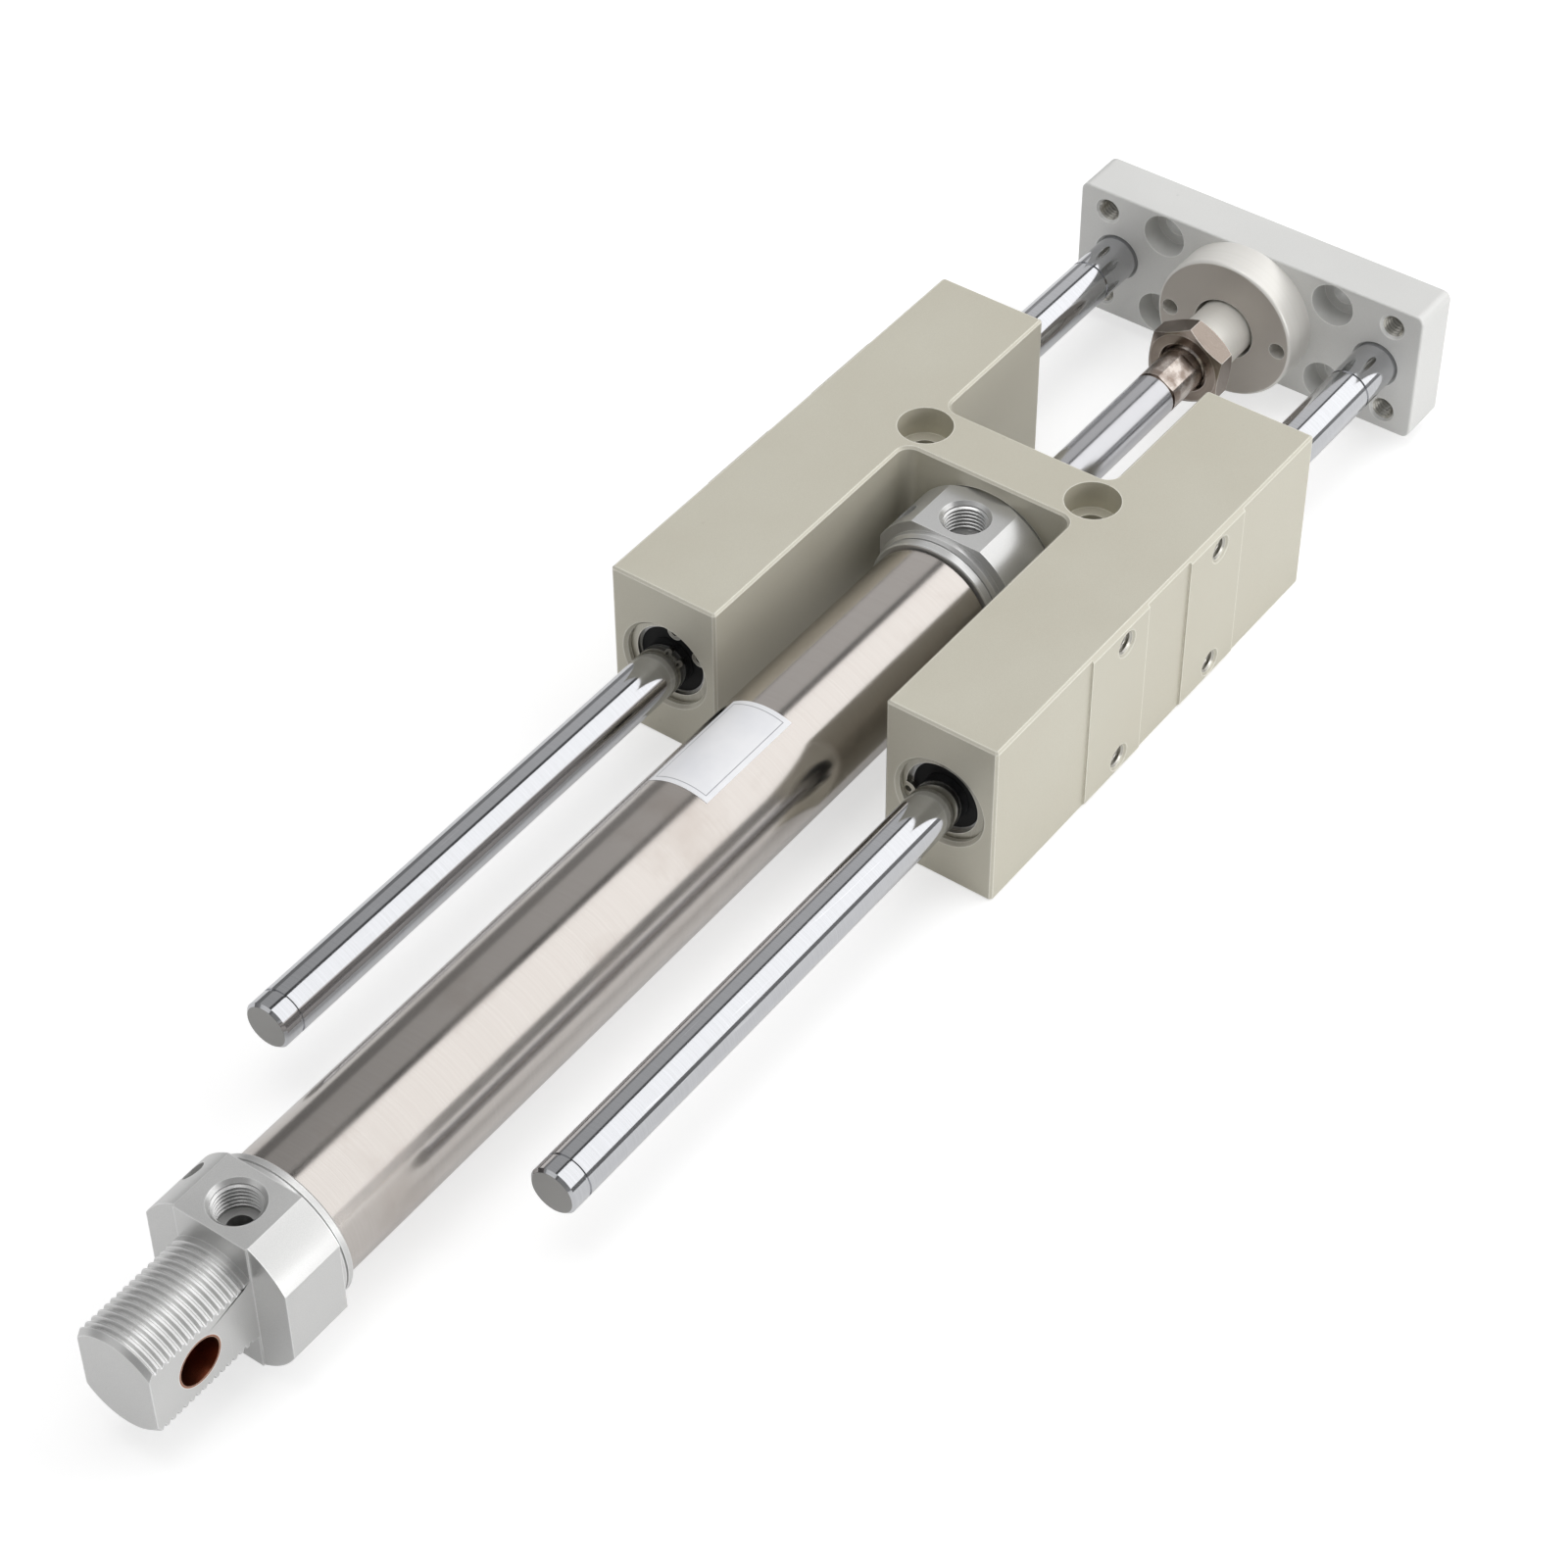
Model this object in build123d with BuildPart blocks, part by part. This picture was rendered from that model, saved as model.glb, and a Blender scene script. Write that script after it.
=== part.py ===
from build123d import *

import os
from math import radians, sqrt, tan

# Guided pneumatic cylinder, bore 25 mm and stroke 160 mm, on an H-shaped guide block.
# +X is the way the rod extends, +Y is the left arm seen along +X, +Z is up. The origin is
# on the block's mounting face, midway between the two bolt holes of its bridge.

os.makedirs("parts", exist_ok=True)

# Stroke, and how far the rod is out in the pose that is modelled
bore_radius = 12.5
stroke = 160.0
extended = 46.0

# Guide block
arm_width = 25.0
slot_width = 40.0
block_height = 39.0
bridge_thickness = 14.0
rear_arm_length = 64.0
front_arm_length = 36.0
slot_corner_radius = 3.0
block_chamfer = 0.5
bolt_pitch = 40.0
bolt_hole_radius = 3.3
bolt_head_radius = 5.75
bolt_head_depth = 6.5
side_hole_pitch_x = 34.0
side_hole_pitch_z = 30.0
side_hole_front_x = 7.1
side_hole_drop = 0.3
side_hole_radius = 2.5
side_hole_depth = 12.0
pad_front_x = 5.9
pad_pitch_x = 35.0
pad_length = 19.8
pad_height = 0.45
cap_recess_radius = 16.5
cap_recess_depth = 1.0

# Guide rods and their linear bushings
guide_rod_radius = 5.0
guide_rod_end_margin = 3.0
guide_rod_groove_inset = 4.2
guide_rod_front_land = 11.9
guide_rod_chamfer = 0.6
groove_width = 0.6
groove_depth = 0.25
bushing_radius = 9.5
bushing_length = 29.0
bushing_wall = 2.0
bushing_inset = 2.6
bushing_groove_pitch = 22.0
bushing_groove_width = 1.3
bushing_groove_depth = 0.4
bore_mouth_chamfer = 0.7
bore_waist_radius = 7.0
retainer_clearance = 0.8
bushing_seal_thickness = 1.8
retaining_ring_thickness = 1.0
retaining_ring_grip = 0.6
retaining_ring_width = 2.0
retaining_ring_offset = 0.5
retaining_ring_opening = 50.0
retaining_ring_lug_radius = 1.7
retaining_ring_eye_radius = 0.75
left_ring_turn = 125.0
right_ring_turn = -40.0

# End plate and its screws
plate_stop_gap = 4.0
plate_thickness = 12.0
plate_width = 85.0
plate_height = 32.0
plate_edge_radius = 0.5
plate_corner_radius = 2.0
rod_register_depth = 4.0
rod_register_chamfer = 0.5
rod_screw_radius = 2.5
rod_screw_length = 14.0
rod_screw_tap_depth = 17.0
rod_screw_head_radius = 4.25
rod_screw_head_height = 5.0
rod_screw_recess = 5.5
rod_screw_key = 4.0
rod_screw_key_depth = 2.6
corner_hole_y = 35.5
corner_hole_z = 11.0
corner_hole_radius = 2.5
clearance_hole_y = 21.0
clearance_hole_z = 10.4
clearance_hole_radius = 2.75
clearance_head_radius = 5.0
clearance_head_depth = 5.5

# Floating coupling between the piston rod and the end plate
disc_radius = 16.5
disc_thickness = 8.5
disc_edge_radius = 0.8
disc_boss_radius = 13.0
disc_boss_length = 4.0
disc_lip = 5.5
disc_bore_radius = 7.25
spanner_hole_circle = 13.4
spanner_hole_radius = 1.9
spanner_hole_depth = 5.0
stud_radius = 6.5
stud_head_radius = 9.6
stud_shank_length = 10.5
coupling_play = 0.1
lock_nut_flats = 17.0
lock_nut_thickness = 6.0
lock_nut_turn = 34.0
nut_bore_chamfer = 0.75

# Piston rod
rod_radius = 5.0
rod_free_length = 28.0
rod_thread_length = 22.0
rod_flats = 9.0
rod_flats_length = 9.0
rod_flats_setback = 2.0
rod_flats_turn = 32.0
rod_neck_width = 0.8
rod_neck_radius = 4.3
rod_tail_radius = 4.0
rod_tail_length = 7.0

# Cylinder barrel and caps
barrel_wall = 1.25
body_base_length = 70.5
cap_flats = 31.0
cap_round_radius = 17.5
front_cap_length = 16.0
rear_cap_length = 14.0
front_collar_length = 4.5
front_collar_ring = 2.3
rear_collar_length = 2.0
collar_radius = 14.7
collar_step = 0.6
collar_lip = 0.2
collar_gap = 0.35
collar_groove_depth = 0.5
collar_groove_width = 0.45
front_cap_depth = 28.0
rear_cap_depth = 24.0
spigot_radius = 11.0
spigot_chamfer = 1.0
front_spigot_length = 18.0
rear_spigot_length = 24.5
eye_inset = 13.3
eye_flats = 16.0
eye_pin_radius = 4.0
eye_bushing_wall = 1.0
face_step = 0.4
port_inset = 7.1
port_radius = 4.6
port_depth = 6.5
port_chamfer = 0.7
port_passage_radius = 2.5
front_nut_flats = 27.0
front_nut_thickness = 4.5

# Rod bearing and seals of the caps
rod_bush_radius = 7.0
rod_bush_length = 16.5
rod_seal_radius = 8.0
rod_seal_length = 5.4
rod_seal_recess = 2.0
rod_seal_web = 0.6
barrel_ring_width = 2.0
barrel_ring_depth = 1.5
barrel_ring_inset = 4.0

# Adjustable end cushions
front_cushion_radius = 7.4
rear_cushion_radius = 6.4
cushion_length = 14.0
cushion_room = 6.5
cushion_clearance = 0.4
cushion_nose = 1.0
cushion_seal_width = 2.4
cushion_seal_depth = 1.4
cushion_seal_inset = 0.8
cushion_screw_radius = 2.2
cushion_screw_length = 6.5
cushion_screw_sink = 1.9
cushion_screw_offset = 2.4
cushion_screw_slot_width = 0.7
cushion_screw_slot_depth = 0.8
needle_radius = 0.8
needle_length = 1.2

# Piston, with the place and width of each of its grooves
piston_length = 17.5
piston_clearance = 0.15
end_bumper = 0.5
piston_seal_inset = 1.5
piston_seal_width = 2.5
piston_seal_depth = 2.4
magnet_inset = 5.0
magnet_width = 3.5
magnet_depth = 2.2
magnet_sink = 0.3
guide_ring_inset = 9.5
guide_ring_width = 3.0
guide_ring_depth = 1.2

# Small edges, and clearances
edge_chamfer = 0.4
tapped_hole_chamfer = 0.5
running_gap = 0.05
seat_gap = 0.05
thread_gap = 0.1
recess_gap = 0.2

# Places that follow from the sizes above
axis_height = block_height / 2
block_width = slot_width + 2 * arm_width
rod_pitch = slot_width + arm_width
bridge_front = bridge_thickness / 2
bridge_rear = -bridge_front
block_front = bridge_front + front_arm_length
block_rear = bridge_rear - rear_arm_length
plate_rear = block_front + plate_stop_gap + extended
plate_front = plate_rear + plate_thickness
boss_front = plate_rear + disc_boss_length
disc_rear = plate_rear - disc_thickness
stud_rear = disc_rear - stud_shank_length
nut_rear = stud_rear - lock_nut_thickness
front_shoulder = bridge_rear + cap_recess_depth
rear_shoulder = front_shoulder - body_base_length - stroke
front_cap_face = front_shoulder - front_cap_depth
rear_cap_face = rear_shoulder + rear_cap_depth
front_head_end = front_shoulder - front_cap_length
rear_head_end = rear_shoulder + rear_cap_length
barrel_front = front_head_end - front_collar_length
barrel_rear = rear_head_end + rear_collar_length
barrel_radius = bore_radius + barrel_wall
piston_rear = rear_cap_face + end_bumper + extended
piston_front = piston_rear + piston_length
rod_shoulder = front_shoulder + rod_free_length + extended
rod_tip = rod_shoulder + rod_thread_length
guide_rod_rear = block_rear - (stroke - extended) - guide_rod_end_margin
guide_rod_front = plate_rear + rod_register_depth
guide_rod_seat = guide_rod_radius + seat_gap
arms = {"left": rod_pitch / 2, "right": -rod_pitch / 2}
screw_seat = cap_round_radius - cushion_screw_sink - cushion_screw_length


def across(x, y=0.0):
    """Plane square to the stroke, centred at y on the axis height."""
    return Plane(origin=(x, y, axis_height), x_dir=(0, 1, 0), z_dir=(1, 0, 0))


def centre_line(y=0.0):
    """Line along the stroke at y on the axis height."""
    return Axis((0, y, axis_height), (1, 0, 0))


def half_section(points, y=0.0):
    """Half section of a turned piece; each point is a place along X and a radius."""
    with BuildSketch(Plane(origin=(0, y, axis_height), x_dir=(1, 0, 0), z_dir=(0, -1, 0))) as half:
        with BuildLine():
            Polyline(*points, close=True)
        make_face()
    return half.sketch


def ring_section(start, end, outer, inner, y=0.0):
    """Half section of a plain tube or ring."""
    return half_section([(start, inner), (end, inner), (end, outer), (start, outer)], y)


def nut_limit(flats, start, end):
    """Half section that turns the corners of a nut down to 30 degrees at both faces."""
    corner = flats / sqrt(3)
    face_radius = flats / 2 - edge_chamfer
    drop = (corner - face_radius) * tan(radians(30))
    return half_section([(start, 0), (start, face_radius), (start + drop, corner), (end - drop, corner),
                         (end, face_radius), (end, 0)])


def nut_bore(radius, start, end):
    """Half section of a nut's bore, with a chamfer at both faces."""
    mouth_radius = radius + nut_bore_chamfer
    return half_section([(start, 0), (start, mouth_radius), (start + nut_bore_chamfer, radius),
                         (end - nut_bore_chamfer, radius), (end, mouth_radius), (end, 0)])


def save(piece, name):
    """Label a finished piece and write it to its own file."""
    piece.label = name
    export_step(piece, f"parts/{name}.step")


# Guide block: an H whose two bored arms are joined by the bridge that carries the cylinder
with BuildPart() as guide_block:
    with BuildSketch():
        with Locations(((block_front + block_rear) / 2, 0)):
            Rectangle(block_front - block_rear, block_width)
        rear_slot_end = block_rear - slot_corner_radius
        with Locations(((rear_slot_end + bridge_rear) / 2, 0)):
            RectangleRounded(bridge_rear - rear_slot_end, slot_width, slot_corner_radius,
                             mode=Mode.SUBTRACT)
        front_slot_end = block_front + slot_corner_radius
        with Locations(((bridge_front + front_slot_end) / 2, 0)):
            RectangleRounded(front_slot_end - bridge_front, slot_width, slot_corner_radius,
                             mode=Mode.SUBTRACT)
    extrude(amount=block_height)
    upright = guide_block.edges().filter_by(Axis.Z).sort_by(Axis.X)
    chamfer(upright[:4] + upright[-4:], block_chamfer)
    chamfer(guide_block.faces().filter_by(Axis.Z).edges(), block_chamfer)

    # Raised pads around the threaded holes of the two outer sides; the chamfer of the block's
    # long edges runs on over them, so it is wider there
    for outward in (1, -1):
        side_y = outward * block_width / 2
        pad_y = side_y + outward * pad_height
        pad_edge = block_chamfer + pad_height
        for pad_x in (pad_front_x, pad_front_x - pad_pitch_x):
            pad_start = Plane(origin=(pad_x - pad_length / 2, 0, 0), x_dir=(0, 1, 0), z_dir=(1, 0, 0))
            with BuildSketch(pad_start):
                with BuildLine():
                    Polyline((side_y, block_chamfer), (pad_y, pad_edge), (pad_y, block_height - pad_edge),
                             (side_y, block_height - block_chamfer), close=True)
                make_face()
            extrude(amount=pad_length)
        hole_middle = (side_hole_front_x - side_hole_pitch_x / 2, pad_y, axis_height - side_hole_drop)
        hole_face = Plane(origin=hole_middle, x_dir=(1, 0, 0), z_dir=(0, outward, 0))
        with Locations(hole_face.location):
            with GridLocations(side_hole_pitch_x, side_hole_pitch_z, 2, 2):
                CounterSinkHole(side_hole_radius, side_hole_radius + tapped_hole_chamfer, side_hole_depth,
                                counter_sink_angle=90)

    # Stepped bores for the bushings, with a groove for each retaining ring
    mouth = bushing_radius + seat_gap
    seat = bushing_inset + bushing_length
    ring_groove = bushing_inset - retaining_ring_thickness - seat_gap
    for y in arms.values():
        for face_x, inward in ((block_rear, 1), (block_front, -1)):
            steps = [(0, 0), (0, mouth + bore_mouth_chamfer), (bore_mouth_chamfer, mouth),
                     (ring_groove, mouth), (ring_groove, mouth + retaining_ring_grip),
                     (bushing_inset, mouth + retaining_ring_grip), (bushing_inset, mouth),
                     (seat, mouth), (seat, 0)]
            bore = [(face_x + inward * depth, radius) for depth, radius in steps]
            revolve(half_section(bore, y), axis=centre_line(y), mode=Mode.SUBTRACT)
        revolve(ring_section(block_rear, block_front, bore_waist_radius, 0, y), axis=centre_line(y),
                mode=Mode.SUBTRACT)

    # Bore for the cylinder's front spigot, with a shallow recess for its cap
    with BuildSketch(across(bridge_rear)):
        Circle(spigot_radius + thread_gap)
    extrude(amount=bridge_thickness, mode=Mode.SUBTRACT)
    with BuildSketch(across(bridge_rear)):
        Circle(cap_recess_radius)
    extrude(amount=cap_recess_depth, mode=Mode.SUBTRACT)
    with Locations((0, bolt_pitch / 2, block_height), (0, -bolt_pitch / 2, block_height)):
        CounterBoreHole(bolt_hole_radius, bolt_head_radius, bolt_head_depth)
save(guide_block.part, "guide_block")

# Linear bushings, two in each arm: sleeve, retainer, end seals and retaining ring
for side, y in arms.items():
    starts = {"rear": block_rear + bushing_inset, "front": block_front - bushing_inset - bushing_length}
    for end, start in starts.items():
        stop = start + bushing_length
        middle = (start + stop) / 2
        with BuildPart() as sleeve:
            revolve(ring_section(start, stop, bushing_radius, bushing_radius - bushing_wall, y),
                    axis=centre_line(y))
            for groove_x in (middle - bushing_groove_pitch / 2, middle + bushing_groove_pitch / 2):
                half_width = bushing_groove_width / 2
                groove = ring_section(groove_x - half_width, groove_x + half_width,
                                      bushing_radius + seat_gap, bushing_radius - bushing_groove_depth, y)
                revolve(groove, axis=centre_line(y), mode=Mode.SUBTRACT)
            for end_face in (sleeve.faces().sort_by(Axis.X)[0], sleeve.faces().sort_by(Axis.X)[-1]):
                chamfer(end_face.edges().sort_by(Edge.length)[-1], edge_chamfer)
        save(sleeve.part, f"{side}_{end}_bushing_sleeve")

        seal_outer = bushing_radius - bushing_wall - seat_gap
        with BuildPart() as retainer:
            revolve(ring_section(start + bushing_seal_thickness, stop - bushing_seal_thickness, seal_outer,
                                 guide_rod_radius + retainer_clearance, y), axis=centre_line(y))
        save(retainer.part, f"{side}_{end}_bushing_retainer")

        with BuildPart() as bushing_seals:
            for seal_start in (start, stop - bushing_seal_thickness):
                revolve(ring_section(seal_start, seal_start + bushing_seal_thickness, seal_outer,
                                     guide_rod_radius + running_gap, y), axis=centre_line(y))
        save(bushing_seals.part, f"{side}_{end}_bushing_seals")

        # The ring is thinnest beside its opening, where the two eyed lugs are
        ring_rear = start - retaining_ring_thickness if end == "rear" else stop
        ring_outer = bushing_radius + retaining_ring_grip
        turn = left_ring_turn if side == "left" else right_ring_turn
        lug_angles = [turn - retaining_ring_opening / 2, turn + retaining_ring_opening / 2]
        with BuildPart() as retaining_ring:
            with BuildSketch(across(ring_rear, y)):
                Circle(ring_outer)
                with PolarLocations(retaining_ring_offset, 1, start_angle=turn):
                    Circle(ring_outer - retaining_ring_width, mode=Mode.SUBTRACT)
                cut_corners = [Vector(2 * ring_outer, 0).rotate(Axis.Z, angle) for angle in lug_angles]
                with BuildLine():
                    Polyline((0, 0), *cut_corners, close=True)
                make_face(mode=Mode.SUBTRACT)
                for angle in lug_angles:
                    with PolarLocations(ring_outer - retaining_ring_lug_radius, 1, start_angle=angle):
                        Circle(retaining_ring_lug_radius)
                        Circle(retaining_ring_eye_radius, mode=Mode.SUBTRACT)
            extrude(amount=retaining_ring_thickness)
        save(retaining_ring.part, f"{side}_{end}_retaining_ring")

# Guide rods, with a fine turned groove near each end and a thread for their screw
for side, y in arms.items():
    with BuildPart() as guide_rod:
        revolve(ring_section(guide_rod_rear, guide_rod_front, guide_rod_radius, 0, y), axis=centre_line(y))
        chamfer(guide_rod.faces().sort_by(Axis.X)[0].edges(), guide_rod_chamfer)
        for groove_x in (guide_rod_rear + guide_rod_groove_inset, plate_rear - guide_rod_front_land):
            revolve(ring_section(groove_x, groove_x + groove_width, guide_rod_radius + seat_gap,
                                 guide_rod_radius - groove_depth, y), axis=centre_line(y), mode=Mode.SUBTRACT)
        with BuildSketch(across(guide_rod_front, y)):
            Circle(rod_screw_radius + thread_gap)
        extrude(amount=-rod_screw_tap_depth, mode=Mode.SUBTRACT)
    save(guide_rod.part, f"{side}_guide_rod")

# End plate: registers for the guide rods, a recess for the coupling, tool mounting holes
with BuildPart() as end_plate:
    with BuildSketch(across(plate_rear)):
        RectangleRounded(plate_width, plate_height, plate_corner_radius)
    extrude(amount=plate_thickness)
    fillet(end_plate.faces().filter_by(Axis.X).edges(), plate_edge_radius)
    with BuildSketch(across(plate_rear)):
        Circle(disc_boss_radius + seat_gap)
    extrude(amount=disc_boss_length + coupling_play, mode=Mode.SUBTRACT)
    for y in arms.values():
        revolve(half_section([(plate_rear, 0), (plate_rear, guide_rod_seat + rod_register_chamfer),
                              (plate_rear + rod_register_chamfer, guide_rod_seat),
                              (guide_rod_front, guide_rod_seat), (guide_rod_front, 0)], y),
                axis=centre_line(y), mode=Mode.SUBTRACT)
    with Locations(across(plate_front).location):
        with Locations(*[(y, 0) for y in arms.values()]):
            CounterBoreHole(rod_screw_radius + recess_gap, rod_screw_head_radius + recess_gap,
                            rod_screw_recess)
    rear_face = Plane(origin=(plate_rear, 0, axis_height), x_dir=(0, -1, 0), z_dir=(-1, 0, 0))
    with Locations(rear_face.location):
        with GridLocations(2 * clearance_hole_y, 2 * clearance_hole_z, 2, 2):
            CounterBoreHole(clearance_hole_radius, clearance_head_radius, clearance_head_depth)
        with GridLocations(2 * corner_hole_y, 2 * corner_hole_z, 2, 2):
            CounterSinkHole(corner_hole_radius, corner_hole_radius + tapped_hole_chamfer,
                            counter_sink_angle=90)
save(end_plate.part, "end_plate")

# Socket head screws that hold the guide rods to the plate
screw_head_seat = plate_front - rod_screw_recess
with BuildPart() as guide_rod_screws:
    for y in arms.values():
        with BuildSketch(across(screw_head_seat, y)):
            Circle(rod_screw_radius)
        extrude(amount=-rod_screw_length)
        with BuildSketch(across(screw_head_seat, y)):
            Circle(rod_screw_head_radius)
        extrude(amount=rod_screw_head_height)
        with BuildSketch(across(screw_head_seat + rod_screw_head_height, y)):
            RegularPolygon(rod_screw_key / 2, 6, major_radius=False)
        extrude(amount=-rod_screw_key_depth, mode=Mode.SUBTRACT)
save(guide_rod_screws.part, "guide_rod_screws")

# Coupling disc: its boss is screwed into the plate and traps the head of the stud
cavity_radius = stud_head_radius + cushion_clearance
lip_front = disc_rear + disc_lip
with BuildPart() as coupling_disc:
    revolve(half_section([(disc_rear, disc_bore_radius), (disc_rear, disc_radius), (plate_rear, disc_radius),
                          (plate_rear, disc_boss_radius), (boss_front, disc_boss_radius),
                          (boss_front, cavity_radius), (lip_front, cavity_radius),
                          (lip_front, disc_bore_radius)]), axis=centre_line())
    rim = coupling_disc.faces().sort_by(Axis.X)[0].edges().sort_by(Edge.length)[-1]
    fillet(rim, disc_edge_radius)
    with BuildSketch(across(disc_rear)):
        with PolarLocations(spanner_hole_circle, 2):
            Circle(spanner_hole_radius)
    extrude(amount=spanner_hole_depth, mode=Mode.SUBTRACT)
save(coupling_disc.part, "coupling_disc")

# Coupling stud: a tapped shank on the rod's thread, and a head that floats in the disc
with BuildPart() as coupling_stud:
    head_rear = lip_front + coupling_play
    revolve(half_section([(stud_rear, 0), (stud_rear, stud_radius - edge_chamfer),
                          (stud_rear + edge_chamfer, stud_radius), (head_rear, stud_radius),
                          (head_rear, stud_head_radius), (boss_front, stud_head_radius), (boss_front, 0)]),
            axis=centre_line())
    with BuildSketch(across(stud_rear)):
        Circle(rod_radius + thread_gap)
    extrude(amount=rod_tip - stud_rear, mode=Mode.SUBTRACT)
save(coupling_stud.part, "coupling_stud")

# Lock nut on the rod thread
with BuildPart() as lock_nut:
    with BuildSketch(across(nut_rear)):
        RegularPolygon(lock_nut_flats / 2, 6, major_radius=False, rotation=lock_nut_turn)
    extrude(amount=lock_nut_thickness)
    revolve(nut_limit(lock_nut_flats, nut_rear, stud_rear), axis=centre_line(), mode=Mode.INTERSECT)
    revolve(nut_bore(rod_radius + thread_gap, nut_rear, stud_rear), axis=centre_line(), mode=Mode.SUBTRACT)
save(lock_nut.part, "lock_nut")

# Piston rod: a tail through the piston, then a neck and two wrench flats before the thread
with BuildPart() as piston_rod:
    flats_rear = rod_shoulder - rod_flats_setback - rod_flats_length
    neck_rear = flats_rear - rod_neck_width
    tail_end = piston_rear - rod_tail_length
    revolve(half_section([(tail_end, 0), (tail_end, rod_tail_radius), (piston_front, rod_tail_radius),
                          (piston_front, rod_radius), (neck_rear, rod_radius), (neck_rear, rod_neck_radius),
                          (flats_rear, rod_neck_radius), (flats_rear, rod_radius),
                          (rod_tip - edge_chamfer, rod_radius), (rod_tip, rod_radius - edge_chamfer),
                          (rod_tip, 0)]), axis=centre_line())
    with BuildSketch(across(flats_rear)):
        with PolarLocations((rod_flats + rod_radius) / 2, 2, start_angle=90 + rod_flats_turn):
            Rectangle(rod_radius, 2 * rod_radius)
    extrude(amount=rod_flats_length, mode=Mode.SUBTRACT)
save(piston_rod.part, "piston_rod")

# Piston, with a groove for each seal, the magnet and the guide ring
magnet_rear = piston_rear + magnet_inset
guide_ring_rear = piston_rear + guide_ring_inset
seal_rears = (piston_rear + piston_seal_inset, piston_front - piston_seal_inset - piston_seal_width)
seal_root = bore_radius - piston_seal_depth
magnet_root = bore_radius - magnet_depth
guide_ring_root = bore_radius - guide_ring_depth
with BuildPart() as piston:
    revolve(ring_section(piston_rear, piston_front, bore_radius - piston_clearance,
                         rod_tail_radius + seat_gap), axis=centre_line())
    for seal_rear in seal_rears:
        revolve(ring_section(seal_rear, seal_rear + piston_seal_width, bore_radius, seal_root),
                axis=centre_line(), mode=Mode.SUBTRACT)
    revolve(ring_section(magnet_rear, magnet_rear + magnet_width, bore_radius, magnet_root),
            axis=centre_line(), mode=Mode.SUBTRACT)
    revolve(ring_section(guide_ring_rear, guide_ring_rear + guide_ring_width, bore_radius, guide_ring_root),
            axis=centre_line(), mode=Mode.SUBTRACT)
save(piston.part, "piston")

with BuildPart() as piston_seals:
    for seal_rear in seal_rears:
        revolve(ring_section(seal_rear + seat_gap, seal_rear + piston_seal_width - seat_gap,
                             bore_radius - running_gap, seal_root + seat_gap), axis=centre_line())
save(piston_seals.part, "piston_seals")

with BuildPart() as piston_magnet:
    revolve(ring_section(magnet_rear + seat_gap, magnet_rear + magnet_width - seat_gap,
                         bore_radius - magnet_sink, magnet_root + seat_gap), axis=centre_line())
save(piston_magnet.part, "piston_magnet")

with BuildPart() as piston_guide_ring:
    revolve(ring_section(guide_ring_rear + seat_gap, guide_ring_rear + guide_ring_width - seat_gap,
                         bore_radius - running_gap, guide_ring_root + seat_gap), axis=centre_line())
save(piston_guide_ring.part, "piston_guide_ring")

# Cushion sleeve in front of the piston, and the cushion boss screwed on the tail behind it
with BuildPart() as front_cushion_sleeve:
    nose = piston_front + cushion_length
    revolve(half_section([(piston_front, rod_radius + seat_gap), (piston_front, front_cushion_radius),
                          (nose - cushion_nose, front_cushion_radius),
                          (nose, front_cushion_radius - edge_chamfer), (nose, rod_radius + seat_gap)]),
            axis=centre_line())
save(front_cushion_sleeve.part, "front_cushion_sleeve")

with BuildPart() as rear_cushion_boss:
    nose = piston_rear - cushion_length
    revolve(half_section([(nose, 0), (nose, rear_cushion_radius - edge_chamfer),
                          (nose + cushion_nose, rear_cushion_radius), (piston_rear, rear_cushion_radius),
                          (piston_rear, 0)]), axis=centre_line())
    with BuildSketch(across(piston_rear)):
        Circle(rod_tail_radius + thread_gap)
    extrude(amount=-rod_tail_length, mode=Mode.SUBTRACT)
save(rear_cushion_boss.part, "rear_cushion_boss")

# Cylinder barrel
with BuildPart() as barrel:
    revolve(ring_section(barrel_rear, barrel_front, barrel_radius, bore_radius), axis=centre_line())
save(barrel.part, "barrel")


def corner_plane(x, reach):
    """Plane that faces out through the upper left corner of a cap, at a distance from the axis."""
    slope = 1 / sqrt(2)
    return Plane(origin=(x, reach * slope, axis_height + reach * slope), x_dir=(1, 0, 0),
                 z_dir=(0, slope, slope))


def cap_head(start, end):
    """Round bar with four flats, from one place along X to another."""
    with BuildPart() as head:
        with BuildSketch(across(start)):
            Circle(cap_round_radius)
            Rectangle(cap_flats, cap_flats, mode=Mode.INTERSECT)
        extrude(amount=end - start)
    return head.part


def port_tools(port_x, cushion_bore):
    """Port thread and the passage below it that opens into the cushion bore."""
    port_top = axis_height + cap_flats / 2
    with BuildPart() as tools:
        with BuildSketch(Plane(origin=(port_x, 0, port_top - port_depth))):
            Circle(port_radius)
        extrude(amount=port_depth)
        with BuildSketch(Plane(origin=(port_x, 0, port_top))):
            Circle(port_radius + port_chamfer)
        extrude(amount=-port_chamfer, taper=45)
        passage_end = axis_height + sqrt(cushion_bore ** 2 - port_passage_radius ** 2) - seat_gap
        with BuildSketch(Plane(origin=(port_x, 0, passage_end))):
            Circle(port_passage_radius)
        extrude(amount=port_top - port_depth - passage_end)
    return tools.part


def screw_tools(screw_x, cushion_bore):
    """Threaded seat of a cushion screw and the needle bore below it."""
    with BuildPart() as tools:
        with BuildSketch(corner_plane(screw_x, screw_seat)):
            Circle(cushion_screw_radius + seat_gap)
        extrude(amount=cap_round_radius - screw_seat)
        with BuildSketch(corner_plane(screw_x, cushion_bore - seat_gap)):
            Circle(needle_radius + recess_gap)
        extrude(amount=screw_seat - cushion_bore + seat_gap)
    return tools.part


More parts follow.
